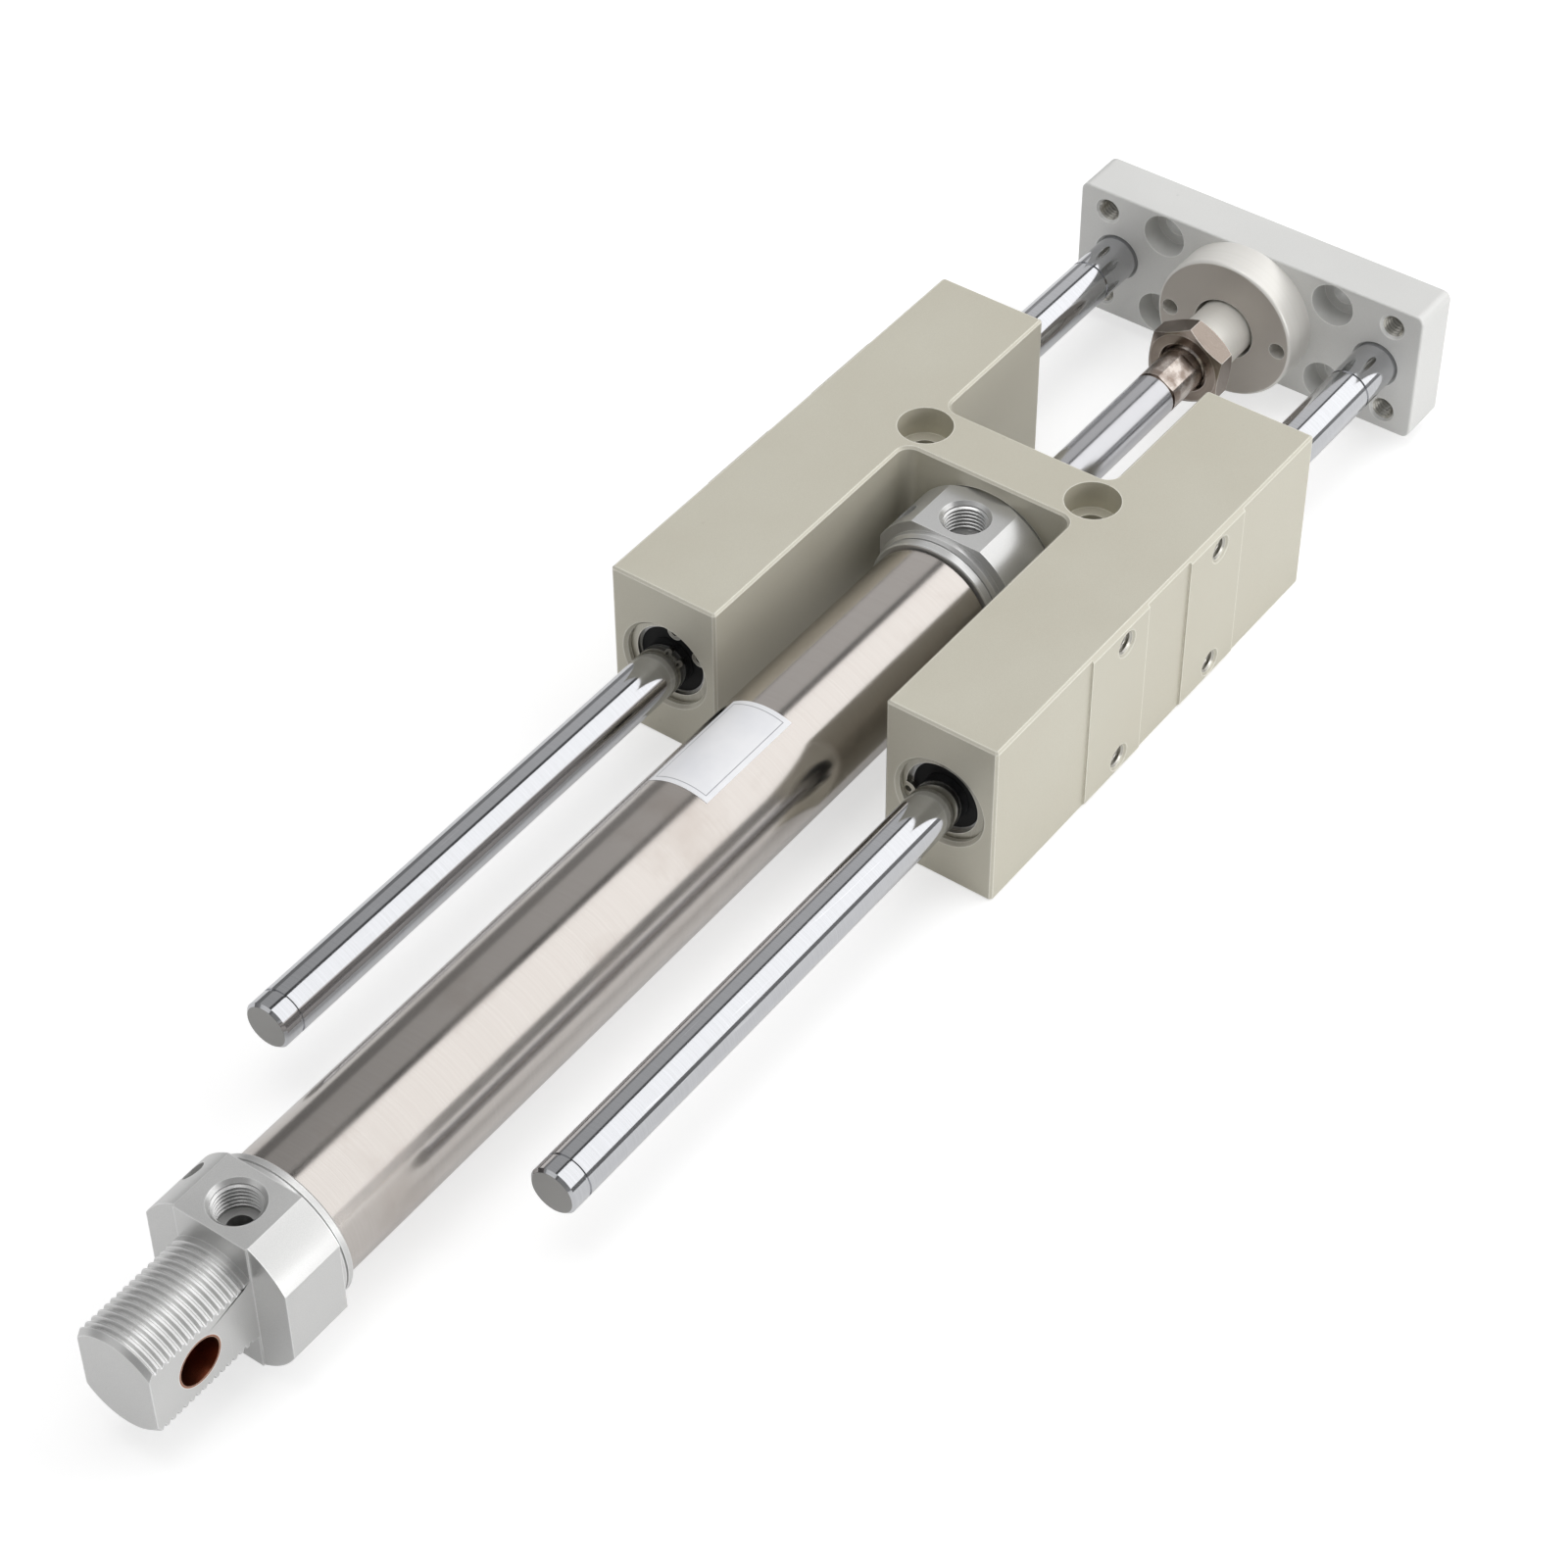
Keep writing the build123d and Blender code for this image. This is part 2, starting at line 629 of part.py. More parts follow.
# Front cap: flatted head, collar, spigot in the barrel and threaded spigot through the bridge
front_cushion_bore = front_cushion_radius + cushion_clearance
front_cushion_end = front_cap_face + cushion_length + cushion_room
front_spigot_tip = front_shoulder + front_spigot_length
rod_seal_rear = front_spigot_tip - rod_seal_recess - rod_seal_length
rod_bush_front = rod_seal_rear - rod_seal_web
front_port_x = front_head_end + port_inset
front_screw_x = front_port_x - cushion_screw_offset
front_ring_x = barrel_front - barrel_ring_inset
front_cushion_groove = front_cap_face + cushion_seal_inset
with BuildPart() as front_cap:
    add(cap_head(front_head_end, front_shoulder))
    nose_radius = cap_recess_radius - recess_gap
    nose_corner = front_shoulder - cap_recess_depth - recess_gap
    reach = cap_round_radius + edge_chamfer
    revolve(half_section([(front_head_end, 0), (front_head_end, reach),
                          (nose_corner - (reach - nose_radius), reach), (nose_corner, nose_radius),
                          (front_shoulder, nose_radius), (front_shoulder, 0)]),
            axis=centre_line(), mode=Mode.INTERSECT)
    collar_face = barrel_front + collar_gap
    groove_rear = front_head_end - front_collar_ring
    groove_front = groove_rear + collar_groove_width
    groove_root = collar_radius - collar_groove_depth
    revolve(half_section([(front_cap_face, 0), (front_cap_face, bore_radius), (collar_face, bore_radius),
                          (collar_face, collar_radius - collar_lip),
                          (collar_face + collar_lip, collar_radius),
                          (groove_rear, collar_radius), (groove_rear, groove_root),
                          (groove_front, groove_root), (groove_front, collar_radius),
                          (groove_front + collar_step, collar_radius + collar_step),
                          (front_head_end, collar_radius + collar_step), (front_head_end, 0)]),
            axis=centre_line())
    revolve(half_section([(front_shoulder, 0), (front_shoulder, spigot_radius),
                          (front_spigot_tip - spigot_chamfer, spigot_radius),
                          (front_spigot_tip, spigot_radius - spigot_chamfer), (front_spigot_tip, 0)]),
            axis=centre_line())
    revolve(ring_section(front_ring_x - barrel_ring_width, front_ring_x, bore_radius,
                         bore_radius - barrel_ring_depth), axis=centre_line(), mode=Mode.SUBTRACT)
    revolve(half_section([(front_cap_face, 0), (front_cap_face, front_cushion_bore),
                          (front_cushion_groove, front_cushion_bore),
                          (front_cushion_groove, front_cushion_bore + cushion_seal_depth),
                          (front_cushion_groove + cushion_seal_width,
                           front_cushion_bore + cushion_seal_depth),
                          (front_cushion_groove + cushion_seal_width, front_cushion_bore),
                          (front_cushion_end, front_cushion_bore),
                          (front_cushion_end, rod_bush_radius + seat_gap),
                          (rod_bush_front, rod_bush_radius + seat_gap),
                          (rod_bush_front, rod_radius + recess_gap),
                          (rod_seal_rear, rod_radius + recess_gap),
                          (rod_seal_rear, rod_seal_radius + seat_gap),
                          (front_spigot_tip, rod_seal_radius + seat_gap), (front_spigot_tip, 0)]),
            axis=centre_line(), mode=Mode.SUBTRACT)
    add(port_tools(front_port_x, front_cushion_bore), mode=Mode.SUBTRACT)
    add(screw_tools(front_screw_x, front_cushion_bore), mode=Mode.SUBTRACT)
save(front_cap.part, "front_cap")

# Rear cap: flatted head, collar, spigot in the barrel and threaded spigot with the mounting eye
rear_cushion_bore = rear_cushion_radius + cushion_clearance
rear_cushion_end = rear_cap_face - cushion_length - cushion_room
rear_spigot_tip = rear_shoulder - rear_spigot_length
eye_x = rear_shoulder - eye_inset
eye_plane = Plane(origin=(eye_x, 0, axis_height), x_dir=(1, 0, 0), z_dir=(0, -1, 0))
rear_port_x = rear_head_end - port_inset
rear_screw_x = rear_port_x + cushion_screw_offset
rear_ring_x = barrel_rear + barrel_ring_inset
rear_cushion_groove = rear_cap_face - cushion_seal_inset
with BuildPart() as rear_cap:
    add(cap_head(rear_shoulder, rear_head_end))
    collar_face = barrel_rear - collar_gap
    groove_front = rear_head_end + collar_groove_width
    revolve(half_section([(rear_cap_face, 0), (rear_cap_face, bore_radius), (collar_face, bore_radius),
                          (collar_face, collar_radius - collar_lip),
                          (collar_face - collar_lip, collar_radius), (groove_front, collar_radius),
                          (groove_front, collar_radius - collar_groove_depth),
                          (rear_head_end, collar_radius - collar_groove_depth), (rear_head_end, 0)]),
            axis=centre_line())
    revolve(half_section([(rear_shoulder, 0), (rear_shoulder, spigot_radius),
                          (rear_spigot_tip + spigot_chamfer, spigot_radius),
                          (rear_spigot_tip, spigot_radius - spigot_chamfer), (rear_spigot_tip, 0)]),
            axis=centre_line())
    with BuildSketch(across(rear_shoulder + face_step)):
        with Locations((eye_flats, 0), (-eye_flats, 0)):
            Rectangle(eye_flats, 2 * cap_flats)
    extrude(amount=-rear_spigot_length - face_step, mode=Mode.SUBTRACT)
    with BuildSketch(eye_plane):
        Circle(eye_pin_radius + eye_bushing_wall)
    extrude(amount=eye_flats, both=True, mode=Mode.SUBTRACT)
    revolve(ring_section(rear_ring_x, rear_ring_x + barrel_ring_width, bore_radius,
                         bore_radius - barrel_ring_depth), axis=centre_line(), mode=Mode.SUBTRACT)
    revolve(half_section([(rear_cap_face, 0), (rear_cap_face, rear_cushion_bore),
                          (rear_cushion_groove, rear_cushion_bore),
                          (rear_cushion_groove, rear_cushion_bore + cushion_seal_depth),
                          (rear_cushion_groove - cushion_seal_width,
                           rear_cushion_bore + cushion_seal_depth),
                          (rear_cushion_groove - cushion_seal_width, rear_cushion_bore),
                          (rear_cushion_end, rear_cushion_bore), (rear_cushion_end, 0)]),
            axis=centre_line(), mode=Mode.SUBTRACT)
    add(port_tools(rear_port_x, rear_cushion_bore), mode=Mode.SUBTRACT)
    add(screw_tools(rear_screw_x, rear_cushion_bore), mode=Mode.SUBTRACT)
save(rear_cap.part, "rear_cap")

with BuildPart() as eye_bushing:
    with BuildSketch(eye_plane):
        Circle(eye_pin_radius + eye_bushing_wall)
        Circle(eye_pin_radius, mode=Mode.SUBTRACT)
    extrude(amount=eye_flats / 2, both=True)
save(eye_bushing.part, "eye_bushing")

# Cushion screws: slotted grub screws whose needle throttles the air at the end of the stroke
for name, screw_x in (("front_cushion_screw", front_screw_x), ("rear_cushion_screw", rear_screw_x)):
    with BuildPart() as cushion_screw:
        with BuildSketch(corner_plane(screw_x, screw_seat)):
            Circle(cushion_screw_radius)
        extrude(amount=cushion_screw_length)
        with BuildSketch(corner_plane(screw_x, screw_seat)):
            Circle(needle_radius)
        extrude(amount=-needle_length)
        with BuildSketch(corner_plane(screw_x, screw_seat + cushion_screw_length)):
            Rectangle(2 * cushion_screw_radius, cushion_screw_slot_width)
        extrude(amount=-cushion_screw_slot_depth, mode=Mode.SUBTRACT)
    save(cushion_screw.part, name)

# Nut that clamps the front cap to the bridge
with BuildPart() as front_mounting_nut:
    with BuildSketch(across(bridge_front)):
        RegularPolygon(front_nut_flats / 2, 6, major_radius=False)
    extrude(amount=front_nut_thickness)
    front_nut_end = bridge_front + front_nut_thickness
    revolve(nut_limit(front_nut_flats, bridge_front, front_nut_end), axis=centre_line(), mode=Mode.INTERSECT)
    revolve(nut_bore(spigot_radius + thread_gap, bridge_front, front_nut_end), axis=centre_line(),
            mode=Mode.SUBTRACT)
save(front_mounting_nut.part, "front_mounting_nut")

# Rod bearing and rod seal in the front spigot
with BuildPart() as rod_bush:
    revolve(ring_section(rod_bush_front - rod_bush_length, rod_bush_front, rod_bush_radius,
                         rod_radius + running_gap), axis=centre_line())
save(rod_bush.part, "rod_bush")

with BuildPart() as rod_seal:
    revolve(ring_section(rod_seal_rear, rod_seal_rear + rod_seal_length, rod_seal_radius,
                         rod_radius + running_gap), axis=centre_line())
save(rod_seal.part, "rod_seal")

# Seals of the two caps: a ring against the barrel and a ring around each cushion
cap_seals = {"front": (front_ring_x - barrel_ring_width, front_cushion_groove, front_cushion_radius),
             "rear": (rear_ring_x, rear_cushion_groove - cushion_seal_width, rear_cushion_radius)}
for end, (ring_start, groove_start, cushion_radius) in cap_seals.items():
    with BuildPart() as barrel_ring:
        revolve(ring_section(ring_start + seat_gap, ring_start + barrel_ring_width - seat_gap,
                             bore_radius - seat_gap, bore_radius - barrel_ring_depth + seat_gap),
                axis=centre_line())
    save(barrel_ring.part, f"{end}_barrel_ring")
    with BuildPart() as cushion_seal:
        groove_root = cushion_radius + cushion_clearance + cushion_seal_depth
        revolve(ring_section(groove_start + seat_gap, groove_start + cushion_seal_width - seat_gap,
                             groove_root - seat_gap, cushion_radius + running_gap), axis=centre_line())
    save(cushion_seal.part, f"{end}_cushion_seal")
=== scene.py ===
from math import cos, pi, radians, sin, sqrt, tan

import bmesh
import bpy
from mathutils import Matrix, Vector


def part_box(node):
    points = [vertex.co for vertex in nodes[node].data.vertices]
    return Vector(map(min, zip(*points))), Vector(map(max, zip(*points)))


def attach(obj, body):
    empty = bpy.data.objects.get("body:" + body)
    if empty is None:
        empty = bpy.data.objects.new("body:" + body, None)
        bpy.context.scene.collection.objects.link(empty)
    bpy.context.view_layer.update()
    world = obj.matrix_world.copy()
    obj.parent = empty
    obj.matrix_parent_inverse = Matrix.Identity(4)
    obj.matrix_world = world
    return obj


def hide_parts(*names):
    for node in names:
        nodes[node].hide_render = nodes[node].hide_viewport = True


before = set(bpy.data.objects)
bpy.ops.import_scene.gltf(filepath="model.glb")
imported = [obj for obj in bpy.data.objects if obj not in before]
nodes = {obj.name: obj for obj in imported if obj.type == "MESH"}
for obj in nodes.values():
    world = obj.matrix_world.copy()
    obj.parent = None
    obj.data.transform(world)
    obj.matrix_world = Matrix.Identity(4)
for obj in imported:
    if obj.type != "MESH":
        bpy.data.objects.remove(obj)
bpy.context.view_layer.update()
scene = bpy.context.scene
scene.view_settings.view_transform = "Standard"

# Sizes that the new pieces share with the CAD model, in metres
MM = 0.001
AXIS_Z = 19.5 * MM
ROD_RADIUS = 5.0 * MM
ROD_Y = {"left": 32.5 * MM, "right": -32.5 * MM}
PORT_RADIUS = 4.6 * MM
PORT_X = {"front_cap": -14.9 * MM, "rear_cap": -229.6 * MM}
PORT_TOP = 34.3 * MM
SPIGOT_RADIUS = 11.0 * MM
EYE_FLAT_Y = 8.0 * MM
NECK_START = 56.2 * MM

# Radius at which finishes unroll the angle about an axis into a length
UNROLL_RADIUS = 10.0 * MM

# One turn of a cut thread: places as shares of the pitch, and whether the wall is sunk there
THREAD_TURN = ((0.0, False), (0.28, True), (0.45, True), (0.73, False))

# Camera at the photograph's place, worked out for a square image
camera_data = bpy.data.cameras.new("camera")
camera_data.sensor_width = 36.0
camera_data.lens = 88.19
camera = bpy.data.objects.new("camera", camera_data)
camera.location = (-0.50298, -0.31409, 0.52801)
camera.rotation_euler = (radians(45.646), radians(0.2725), radians(-53.924))
scene.collection.objects.link(camera)
scene.camera = camera


# Shader helpers

def node_group(name, inputs, outputs):
    """New shader group with named sockets: inputs are (name, kind, default), outputs (name, kind)."""
    group = bpy.data.node_groups.new(name, "ShaderNodeTree")
    for label, kind, default in inputs:
        socket = group.interface.new_socket(name=label, in_out="INPUT", socket_type="NodeSocket" + kind)
        socket.default_value = default
    for label, kind in outputs:
        group.interface.new_socket(name=label, in_out="OUTPUT", socket_type="NodeSocket" + kind)
    source = group.nodes.new("NodeGroupInput")
    sink = group.nodes.new("NodeGroupOutput")
    return group, source, sink


def add_node(tree, kind, inputs=None, **settings):
    """Shader node with its settings, and its unlinked inputs given by name or number."""
    item = tree.nodes.new("ShaderNode" + kind)
    for key, value in settings.items():
        setattr(item, key, value)
    for socket, number in (inputs or {}).items():
        item.inputs[socket].default_value = number
    return item


def math_node(tree, operation, first, second=None, third=None, clamp=False):
    """Math node whose operands are sockets or numbers."""
    item = add_node(tree, "Math", operation=operation, use_clamp=clamp)
    for socket, value in zip(item.inputs, (first, second, third)):
        if value is None:
            continue
        if isinstance(value, (int, float)):
            socket.default_value = value
        else:
            tree.links.new(value, socket)
    return item.outputs[0]


def spread(tree, value, low, high, out_low=0.0, out_high=1.0):
    """Value mapped from one range to another and held inside it."""
    item = add_node(tree, "MapRange", {1: low, 2: high, 3: out_low, 4: out_high})
    tree.links.new(value, item.inputs[0])
    return item.outputs[0]


def grain_group():
    """Fine matte grain of blasted, anodised or sintered metal, and broad cloudy patches."""
    group, source, sink = node_group(
        "Fine grain",
        [("Coordinates", "Vector", (0, 0, 0)), ("Grain size", "Float", 0.0002),
         ("Patch size", "Float", 0.02)],
        [("Grain", "Float"), ("Patches", "Float")])
    for label, size, detail in (("Grain", "Grain size", 2.0), ("Patches", "Patch size", 4.0)):
        scale = math_node(group, "DIVIDE", 1.0, source.outputs[size])
        noise = add_node(group, "TexNoise", {"Detail": detail, "Roughness": 0.55})
        group.links.new(source.outputs["Coordinates"], noise.inputs["Vector"])
        group.links.new(scale, noise.inputs["Scale"])
        group.links.new(noise.outputs["Fac"], sink.inputs[label])
    return group


def lines_group():
    """Fine parallel machining lines: noise stretched by the densities along X, Y and Z."""
    group, source, sink = node_group(
        "Machining lines",
        [("Coordinates", "Vector", (0, 0, 0)), ("Density", "Vector", (20, 4000, 4000)),
         ("Detail", "Float", 6.0)],
        [("Lines", "Float")])
    stretched = add_node(group, "VectorMath", operation="MULTIPLY")
    group.links.new(source.outputs["Coordinates"], stretched.inputs[0])
    group.links.new(source.outputs["Density"], stretched.inputs[1])
    noise = add_node(group, "TexNoise", {"Scale": 1.0, "Roughness": 0.65})
    group.links.new(stretched.outputs[0], noise.inputs["Vector"])
    group.links.new(source.outputs["Detail"], noise.inputs["Detail"])
    group.links.new(noise.outputs["Fac"], sink.inputs["Lines"])
    return group


def polar_group():
    """Radius, angle and place along X of a point about a line along X."""
    group, source, sink = node_group(
        "Round a turning axis",
        [("Coordinates", "Vector", (0, 0, 0)), ("Axis", "Vector", (0, 0, AXIS_Z))],
        [("Radius", "Float"), ("Angle", "Float"), ("Along", "Float"), ("Unrolled", "Vector")])
    offset = add_node(group, "VectorMath", operation="SUBTRACT")
    group.links.new(source.outputs["Coordinates"], offset.inputs[0])
    group.links.new(source.outputs["Axis"], offset.inputs[1])
    parts = add_node(group, "SeparateXYZ")
    group.links.new(offset.outputs[0], parts.inputs[0])
    square = math_node(group, "ADD", math_node(group, "MULTIPLY", parts.outputs["Y"], parts.outputs["Y"]),
                       math_node(group, "MULTIPLY", parts.outputs["Z"], parts.outputs["Z"]))
    radius = math_node(group, "SQRT", square)
    angle = math_node(group, "ARCTAN2", parts.outputs["Y"], parts.outputs["Z"])
    unrolled = add_node(group, "CombineXYZ")
    group.links.new(parts.outputs["X"], unrolled.inputs["X"])
    group.links.new(math_node(group, "MULTIPLY", angle, UNROLL_RADIUS), unrolled.inputs["Y"])
    group.links.new(radius, unrolled.inputs["Z"])
    group.links.new(radius, sink.inputs["Radius"])
    group.links.new(angle, sink.inputs["Angle"])
    group.links.new(parts.outputs["X"], sink.inputs["Along"])
    group.links.new(unrolled.outputs[0], sink.inputs["Unrolled"])
    return group


def edge_wear_and_highlight_group():
    """Edge mask, from how far a rounded normal leaves the true one, broken up by noise; finishes tint it
    light as bare-metal wear and as a painted highlight.
    """
    group, source, sink = node_group(
        "Edge wear and painted highlight",
        [("Coordinates", "Vector", (0, 0, 0)), ("Width", "Float", 0.0004), ("Breakup", "Float", 0.3)],
        [("Edge", "Float")])
    flat_cosine = 0.997
    edge_cosine = 0.95
    bevel = add_node(group, "Bevel", samples=6)
    group.links.new(source.outputs["Width"], bevel.inputs["Radius"])
    geometry = add_node(group, "NewGeometry")
    aligned = add_node(group, "VectorMath", operation="DOT_PRODUCT")
    group.links.new(bevel.outputs[0], aligned.inputs[0])
    group.links.new(geometry.outputs["Normal"], aligned.inputs[1])
    bend = spread(group, aligned.outputs["Value"], flat_cosine, edge_cosine)
    noise = add_node(group, "TexNoise", {"Scale": 900.0, "Detail": 3.0})
    group.links.new(source.outputs["Coordinates"], noise.inputs["Vector"])
    broken = math_node(group, "SUBTRACT", bend, math_node(group, "MULTIPLY", noise.outputs["Fac"],
                                                          source.outputs["Breakup"]), clamp=True)
    group.links.new(broken, sink.inputs["Edge"])
    return group


def marks_group():
    """Handling marks: sparse small specks and a few long hairline scratches."""
    group, source, sink = node_group(
        "Handling marks",
        [("Coordinates", "Vector", (0, 0, 0)), ("Speck spacing", "Float", 0.006),
         ("Scratch turn", "Float", 0.6)],
        [("Specks", "Float"), ("Scratches", "Float")])
    cells = add_node(group, "TexVoronoi", feature="F1")
    group.links.new(source.outputs["Coordinates"], cells.inputs["Vector"])
    group.links.new(math_node(group, "DIVIDE", 1.0, source.outputs["Speck spacing"]), cells.inputs["Scale"])
    group.links.new(spread(group, cells.outputs["Distance"], 0.045, 0.02), sink.inputs["Specks"])
    turned_place = add_node(group, "VectorRotate", rotation_type="AXIS_ANGLE")
    group.links.new(source.outputs["Coordinates"], turned_place.inputs["Vector"])
    group.links.new(source.outputs["Scratch turn"], turned_place.inputs["Angle"])
    along_density = 60.0
    across_density = 2600.0
    thin = add_node(group, "VectorMath", {1: (along_density, across_density, along_density)},
                    operation="MULTIPLY")
    group.links.new(turned_place.outputs[0], thin.inputs[0])
    noise = add_node(group, "TexNoise", {"Scale": 1.0, "Detail": 1.0})
    group.links.new(thin.outputs[0], noise.inputs["Vector"])
    group.links.new(spread(group, noise.outputs["Fac"], 0.72, 0.78), sink.inputs["Scratches"])
    return group


GRAIN = grain_group()
LINES = lines_group()
POLAR = polar_group()
EDGE_WEAR_AND_HIGHLIGHT = edge_wear_and_highlight_group()
MARKS = marks_group()


class Finish:
    """A material under construction, with its Principled shader and helpers to feed it."""

    def __init__(self, name, base, roughness, metallic, **sockets):
        self.material = bpy.data.materials.new(name)
        self.material.use_nodes = True
        self.tree = self.material.node_tree
        self.shader = self.tree.nodes["Principled BSDF"]
        self.shader.inputs["Base Color"].default_value = (*base, 1)
        self.shader.inputs["Roughness"].default_value = roughness
        self.shader.inputs["Metallic"].default_value = metallic
        for socket, value in sockets.items():
            self.shader.inputs[socket.replace("_", " ")].default_value = value
        self.base = base
        self.place = add_node(self.tree, "TexCoord").outputs["Object"]

    def group(self, tree, **inputs):
        """A group in this material, with its inputs given by name; it reads Object coordinates."""
        item = self.tree.nodes.new("ShaderNodeGroup")
        item.node_tree = tree
        for socket, value in inputs.items():
            target = item.inputs[socket.replace("_", " ")]
            if isinstance(value, bpy.types.NodeSocket):
                self.tree.links.new(value, target)
            else:
                target.default_value = value
        if "Coordinates" not in inputs:
            self.tree.links.new(self.place, item.inputs["Coordinates"])
        return item.outputs

    def tint(self, mask, colour):
        """Mixes a colour over the base where the mask is white."""
        mix = add_node(self.tree, "Mix", data_type="RGBA", blend_type="MIX")
        self.tree.links.new(mask, mix.inputs["Factor"])
        base = self.shader.inputs["Base Color"]
        if base.links:
            self.tree.links.new(base.links[0].from_socket, mix.inputs[6])
        else:
            mix.inputs[6].default_value = (*self.base, 1)
        mix.inputs[7].default_value = (*colour, 1)
        self.tree.links.new(mix.outputs[2], base)

    def roughen(self, value, low, high):
        """Roughness from low to high over the middle range of a noise value."""
        self.tree.links.new(spread(self.tree, value, 0.3, 0.7, low, high),
                            self.shader.inputs["Roughness"])

    def bump(self, value, distance, strength):
        """Relief of that height over the bumps already there."""
        item = add_node(self.tree, "Bump", {"Strength": strength, "Distance": distance})
        self.tree.links.new(value, item.inputs["Height"])
        normal = self.shader.inputs["Normal"]
        if normal.links:
            self.tree.links.new(normal.links[0].from_socket, item.inputs["Normal"])
        self.tree.links.new(item.outputs[0], normal)


def srgb(red, green, blue):
    """Linear colour from 0 to 255 screen values, by the standard curve."""
    shares = [value / 255 for value in (red, green, blue)]
    return tuple(((share + 0.055) / 1.055) ** 2.4 if share > 0.04 else share / 12.92 for share in shares)


def anodised(name, base, light, dark, edge, roughness=(0.40, 0.50), metallic=0.35):
    """Matte anodised aluminium: blasted grain, faint cloudy patches, edges tinted light as wear and painted
    highlight, few marks.
    """
    finish = Finish(name, base, roughness[0], metallic)
    grain = finish.group(GRAIN, Grain_size=0.00016, Patch_size=0.03)
    marks = finish.group(MARKS, Speck_spacing=0.011, Scratch_turn=0.5)
    finish.tint(spread(finish.tree, grain["Patches"], 0.35, 0.7), light)
    finish.tint(spread(finish.tree, grain["Grain"], 0.62, 0.4, 0.0, 0.25), dark)
    finish.tint(math_node(finish.tree, "MULTIPLY", marks["Specks"], 0.35), dark)
    finish.tint(math_node(finish.tree, "MULTIPLY", marks["Scratches"], 0.25), light)
    # Edges tinted light: partly bare-metal wear, partly a painted highlight standing in for glints on the
    # chamfers
    finish.tint(finish.group(EDGE_WEAR_AND_HIGHLIGHT, Width=0.0004, Breakup=0.25)["Edge"], edge)
    finish.roughen(grain["Patches"], *roughness)
    finish.bump(grain["Grain"], 0.000015, 0.3)
    return finish.material


def turned(name, base, light, roughness, metallic=1.0, depth=0.000012, density=9000.0,
           edge=None, dark=None, painted_end_shade=None):
    """Turned or ground metal, with fine rings about a line along X.

    Ends square to that line can take a painted shade, a colour that stands in for the shade on them.
    """
    finish = Finish(name, base, roughness[0], metallic)
    polar = finish.group(POLAR, Axis=(0, 0, AXIS_Z))
    rings = finish.group(LINES, Coordinates=polar["Unrolled"], Density=(density, 12.0, density), Detail=4.0)
    grain = finish.group(GRAIN, Grain_size=0.0006, Patch_size=0.02)
    finish.tint(spread(finish.tree, rings["Lines"], 0.42, 0.68), light)
    if dark:
        finish.tint(spread(finish.tree, grain["Patches"], 0.55, 0.8, 0.0, 0.8), dark)
    if painted_end_shade:
        # Painted shade: faces square to the axis take the darker colour standing in for their shade
        normal = add_node(finish.tree, "SeparateXYZ")
        finish.tree.links.new(add_node(finish.tree, "NewGeometry").outputs["Normal"], normal.inputs[0])
        end_shade_mask = spread(finish.tree, math_node(finish.tree, "ABSOLUTE", normal.outputs["X"]), 0.92, 0.99)
        finish.tint(end_shade_mask, painted_end_shade)
    # Edges tinted light: partly bare-metal wear, partly a painted highlight on the rims
    if edge:
        finish.tint(finish.group(EDGE_WEAR_AND_HIGHLIGHT, Width=0.00025, Breakup=0.3)["Edge"], edge)
    finish.roughen(grain["Patches"], *roughness)
    finish.bump(rings["Lines"], depth, 0.5)
    return finish.material


def chrome(name, axis_y, cut_end_x):
    """Hard chrome on a ground rod: a near mirror with faint grinding rings, and a darker, rougher rear end
    face.
    """
    finish = Finish(name, srgb(196, 197, 200), 0.06, 1.0)
    polar = finish.group(POLAR, Axis=(0, axis_y, AXIS_Z))
    rings = finish.group(LINES, Coordinates=polar["Unrolled"], Density=(14000.0, 25.0, 60.0), Detail=3.0)
    marks = finish.group(MARKS, Speck_spacing=0.02, Scratch_turn=0.02)
    grain = finish.group(GRAIN, Grain_size=0.0005, Patch_size=0.012)
    finish.tint(spread(finish.tree, rings["Lines"], 0.45, 0.75), srgb(208, 209, 213))
    finish.tint(math_node(finish.tree, "MULTIPLY", marks["Scratches"], 0.3), srgb(232, 232, 234))
    cut_end = spread(finish.tree, polar["Along"], cut_end_x + 0.05 * MM, cut_end_x + 0.02 * MM)
    finish.tint(cut_end, srgb(150, 149, 147))
    worn = spread(finish.tree, grain["Patches"], 0.3, 0.7, 0.06, 0.12)
    finish.tree.links.new(math_node(finish.tree, "MULTIPLY_ADD", cut_end, 0.3, worn),
                          finish.shader.inputs["Roughness"])
    finish.bump(rings["Lines"], 0.0000004, 0.5)
    return finish.material


block_finish = anodised("block champagne anodising", srgb(203, 199, 184), srgb(207, 204, 190),
                        srgb(184, 179, 163), srgb(247, 245, 236))
plate_finish = anodised("plate clear anodising", srgb(220, 220, 218), srgb(225, 225, 223),
                        srgb(202, 202, 200), srgb(248, 248, 246), metallic=0.25)
cap_finish = anodised("cap bright anodising", srgb(210, 210, 209), srgb(217, 217, 216), srgb(184, 184, 183),
                      srgb(240, 240, 240), roughness=(0.28, 0.36), metallic=0.8)
rod_finishes = {side: chrome(f"{side} guide rod chrome", y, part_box(f"{side}_guide_rod")[0][0])
                for side, y in ROD_Y.items()}
barrel_finish = turned("barrel satin stainless steel", srgb(192, 186, 181), srgb(197, 192, 188),
                       (0.15, 0.21), depth=0.000001, density=7000.0, dark=srgb(178, 169, 162))
